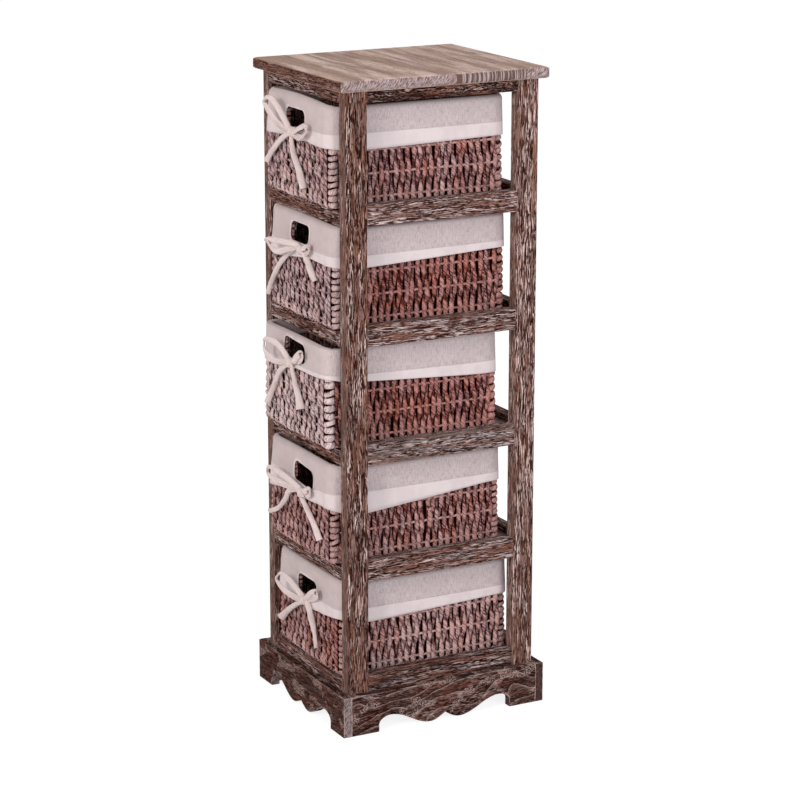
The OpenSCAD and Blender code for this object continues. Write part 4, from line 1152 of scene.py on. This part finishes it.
class CHEST_OT_frame(ChestOperator, bpy.types.Operator):
    """Finishes the posts, rails, aprons, plinth, shelves and top board"""
    bl_idname = "chest.frame"
    bl_label = "Wooden frame"

    def execute(self, context):
        wood = context.scene.chest_wood
        posts = {"wave": 6, "wave_l": 50, "slope": 0.05, "smooth": 1}
        rails = {"lime": linear("#d0bebb"), "streak": 1.05, "streak_l": 21, "blotch": (110, 8), "crack": 1.1}
        fine_rails = {**rails, "streak": 0.85}
        # A node takes the last finish whose names it starts with
        finishes = {
            "post_front": limed_wood("limed_wood_upright", 2, lime_share=0.38, late_share=0.42, streak_l=22,
                                     crack=1.5, **posts),
            "post_rear": limed_wood("limed_wood_upright_pale", 2, (90, 30, 60), lime_share=0.8, late_share=0.3,
                                    streak=1.3, streak_l=26, crack=1.2, **posts),
            "rail_left rail_right": limed_wood("limed_wood_back", 1, lime_share=0.85, late_share=0.3, **rails),
            "rail_left_3 rail_right_3": limed_wood("limed_wood_back_grey", 1, (30, 60, 0), body=linear("#77635d"),
                                                   lime_share=0.75, late_share=0.3, **fine_rails),
            "rail_left_4 rail_right_4": limed_wood("limed_wood_back_brown", 1, (0, 0, 70), lime_share=0.7,
                                                   late_share=0.36, **rails),
            "rail_left_5 rail_right_5": limed_wood("limed_wood_back_dark", 1, body=wood.plinth, lime_share=0.4,
                                                   late_share=0.38, **rails),
            "rail_front rail_rear apron_front apron_rear": limed_wood("limed_wood_across", 0, lime_share=0.5,
                                                                      late_share=0.33, **rails),
            "apron_left apron_right": limed_wood("limed_wood_apron", 1, (40, 0, 20), body=linear("#361d15"),
                                                 lime_share=0.4, late_share=0.68, crack=6, slope=0.2),
            "plinth_left plinth_right": plinth_wood("dark_wood_back", 1, "#7d6862", "#4a332e", 1.0, lime_share=0.2,
                                                    late_share=0.42),
            "plinth_front": plinth_wood("dark_wood_across", 0, "#b5a5a3", "#705c57", 0.15, lime_share=0.1,
                                        late_share=0.4),
            "plinth_rear": plinth_wood("dark_wood_rear", 0, "#6b544d", "#3d2721", 0.15, (60, 0, 0), lime_share=0.1,
                                       late_share=0.4),
            "top_board": top_wood(),
            "shelf": plain_wood("stained_plywood", 1, wood.shelf, linear("#8f7a72"), (60, 2, 2)),
            "rail_dowels": plain_wood("turned_beech", 0, linear("#c9a777"), linear("#b88f5e"), (9, 0.8, 0.8)),
            "top_screws": zinc_steel()}
        for name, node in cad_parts.items():
            for starts, material in finishes.items():
                if name.startswith(tuple(starts.split())):
                    node.data.materials.clear()
                    node.data.materials.append(material)
        return {"FINISHED"}


class CHEST_OT_baskets(ChestOperator, bpy.types.Operator):
    """Weaves the five baskets"""
    bl_idname = "chest.baskets"
    bl_label = "Woven baskets"

    def execute(self, context):
        weave = context.scene.chest_weave
        cord = grass_cord()
        ends = Weaving(weave.front_pitch / MM, weave.front_rows / MM, weave.front_cord / MM, narrow=0.74, swing=1.7,
                       flat=1.7, nub=2.2, pair=1.4, drift=0.24, first=11.0, stake=-0.6)
        sides = Weaving(weave.side_pitch / MM, weave.side_rows / MM, weave.side_cord / MM, narrow=0.74, swing=1.9,
                        flat=0.7, nub=1.2, pair=0.55, drift=0.2, first=14.0, stake=0.9)
        for level, form in zip(LEVELS, FORMS):
            rng = np.random.default_rng(weave.seed + level)
            surfaces = woven_side(form, "front", ends, form.front_hue, form.light, rng, form.hole)
            surfaces += woven_side(form, "rear", ends, 0.3, 0.0, rng)
            for side in ("right", "left"):
                surfaces += woven_side(form, side, sides, form.side_hue, form.side_light, rng)
            woven = new_piece(f"weave_{level}", surfaces, cord, level)
            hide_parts(f"basket_{level}")
            hues = (form.front_hue, form.side_hue, form.side_hue, form.front_hue)
            edges = corner_columns(form, hues, form.light, rng) + bound_hole(form, rng)
            edges += [foot_rope(form, 0.4, rng)] + woven_floor(0.7, rng)
            new_piece(f"basket_edges_{level}", edges, cord, level)
        return {"FINISHED"}


class CHEST_OT_liners(ChestOperator, bpy.types.Operator):
    """Drapes the five cloth liners over the baskets' rims"""
    bl_idname = "chest.liners"
    bl_label = "Cloth liners"

    def execute(self, context):
        liner = context.scene.chest_liner
        cotton = liner_cotton()
        for level, form, bow in zip(LEVELS, FORMS, BOWS):
            rng = np.random.default_rng(context.scene.chest_weave.seed * 10 + level)
            surface, uv, height = liner_surface(form, bow, rng)
            cloth = new_piece(f"liner_cloth_{level}", [surface], cotton, level, uv)
            solid(cloth, liner.thickness)
            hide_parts(f"liner_{level}")
            surface = hole_edge(form)
            corners = sum(f.size for f in surface.faces)
            edge = new_piece(f"hole_edge_{level}", [surface], cotton, level, np.zeros((corners, 2)))
        return {"FINISHED"}


class CHEST_OT_ribbons(ChestOperator, bpy.types.Operator):
    """Ties the five ribbon bows"""
    bl_idname = "chest.ribbons"
    bl_label = "Ribbon bows"

    def execute(self, context):
        ribbon = context.scene.chest_ribbon
        material = cotton_tape()
        for level, form, bow in zip(LEVELS, FORMS, BOWS):
            surfaces, uvs, runs = zip(*bow_surfaces(form, bow, ribbon.width / MM))
            tied = new_piece(f"bow_{level}", surfaces, material, level, np.concatenate(uvs))
            solid(tied, ribbon.thickness)
            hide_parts(f"ribbon_{level}")
        return {"FINISHED"}


class CHEST_OT_stage(ChestOperator, bpy.types.Operator):
    """Sets up the camera, the soft studio light and a pale floor"""
    bl_idname = "chest.stage"
    bl_label = "Studio"

    def execute(self, context):
        stage, scene = context.scene.chest_stage, context.scene
        low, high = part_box("top_board")
        middle = Vector(((low.x + high.x) / 2, (low.y + high.y) / 2, 0))
        lens = bpy.data.cameras.new("camera")
        lens.lens, lens.sensor_width = stage.lens, 36
        lens.clip_start, lens.clip_end = 0.1, 100
        camera = bpy.data.objects.new("camera", lens)
        camera.location = middle + Vector(stage.place)
        ahead = Vector((-math.sin(stage.turn) * math.cos(stage.tilt), math.cos(stage.turn) * math.cos(stage.tilt),
                        -math.sin(stage.tilt)))
        camera.rotation_euler = ahead.to_track_quat("-Z", "Y").to_euler()
        scene.collection.objects.link(camera)
        scene.camera = camera
        scene.view_settings.view_transform = "Standard"
        self.floor(scene, stage)
        self.lights(scene, middle)
        return {"FINISHED"}

    def seen(self, tree):
        """1 where the floor or the sky is seen, straight or in metal or glass, and 0 where it only gives light."""
        path = add(tree, "LightPath").outputs
        mirrored = add(tree, "Math MAXIMUM", path["Is Glossy Ray"], path["Is Transmission Ray"])
        return add(tree, "Math MAXIMUM", path["Is Camera Ray"], mirrored)

    def floor(self, scene, stage):
        """A flat square of floor: white to the camera, where only the object's shadow darkens it."""
        reach = 30
        mesh = bpy.data.meshes.new("floor")
        mesh.from_pydata([(-reach, -reach, 0), (reach, -reach, 0), (reach, reach, 0), (-reach, reach, 0)], [],
                         [(0, 1, 2, 3)])
        floor = bpy.data.objects.new("floor", mesh)
        scene.collection.objects.link(floor)
        made, tree = new_material("painted_floor")
        # A camera sees mostly the floor's own white, and a third of its light and shadow
        shown = add(tree, "AddShader", add(tree, "BsdfDiffuse", Color=linear("#9e9e9e")),
                    add(tree, "Emission", Strength=0.86))
        add(tree, "OutputMaterial", add(tree, "MixShader", self.seen(tree),
                                        add(tree, "BsdfDiffuse", Color=stage.floor), shown))
        mesh.materials.append(made)

    def lights(self, scene, middle):
        """A soft lamp before the chest, a weaker one at the camera's right, and an even sky."""
        world = bpy.data.worlds.new("studio")
        world.use_nodes = True
        tree = world.node_tree
        tree.nodes.clear()
        sky = add(tree, "Background", Color=linear("#fcfafc"), Strength=0.45)
        white = add(tree, "Background", Color=linear("#ffffff"), Strength=1.0)
        add(tree, "OutputWorld", add(tree, "MixShader", self.seen(tree), sky, white))
        scene.world = world
        for name, place, size, power, tint in (("key", (1.5, -3.1, 1.9), 0.9, 58, "#fff6f3"),
                                               ("fill", (3.6, 0.9, 1.8), 1.2, 54, "#f9f8ff")):
            lamp = bpy.data.lights.new(name, "AREA")
            lamp.shape, lamp.size, lamp.energy, lamp.color = "SQUARE", size, power, linear(tint)[:3]
            held = bpy.data.objects.new(name, lamp)
            held.location = middle + Vector(place)
            aim = middle + Vector((0, 0, 0.45)) - held.location
            held.rotation_euler = aim.to_track_quat("-Z", "Y").to_euler()
            scene.collection.objects.link(held)


class CHEST_PT_panel(bpy.types.Panel):
    """Lists the operators in the 3D view's sidebar"""
    bl_label = "Basket chest"
    bl_idname = "CHEST_PT_panel"
    bl_space_type = "VIEW_3D"
    bl_region_type = "UI"
    bl_category = "Chest"

    def draw(self, context):
        for operator in OPERATORS:
            self.layout.operator(operator.bl_idname)


GROUPS = {"chest_wood": ChestWood, "chest_weave": ChestWeave, "chest_liner": ChestLiner,
          "chest_ribbon": ChestRibbon, "chest_stage": ChestStage}
OPERATORS = (CHEST_OT_stage, CHEST_OT_frame, CHEST_OT_baskets, CHEST_OT_liners, CHEST_OT_ribbons)


def register():
    for group in GROUPS.values():
        bpy.utils.register_class(group)
    for name, group in GROUPS.items():
        setattr(bpy.types.Scene, name, PointerProperty(type=group))
    for operator in OPERATORS:
        bpy.utils.register_class(operator)
    bpy.utils.register_class(CHEST_PT_panel)


def unregister():
    bpy.utils.unregister_class(CHEST_PT_panel)
    for operator in OPERATORS:
        bpy.utils.unregister_class(operator)
    for name, group in GROUPS.items():
        delattr(bpy.types.Scene, name)
        bpy.utils.unregister_class(group)


def main():
    """Makes everything in order."""
    register()
    bpy.ops.chest.stage()
    bpy.ops.chest.frame()
    bpy.ops.chest.baskets()
    bpy.ops.chest.liners()
    bpy.ops.chest.ribbons()


if __name__ == "__main__":
    main()
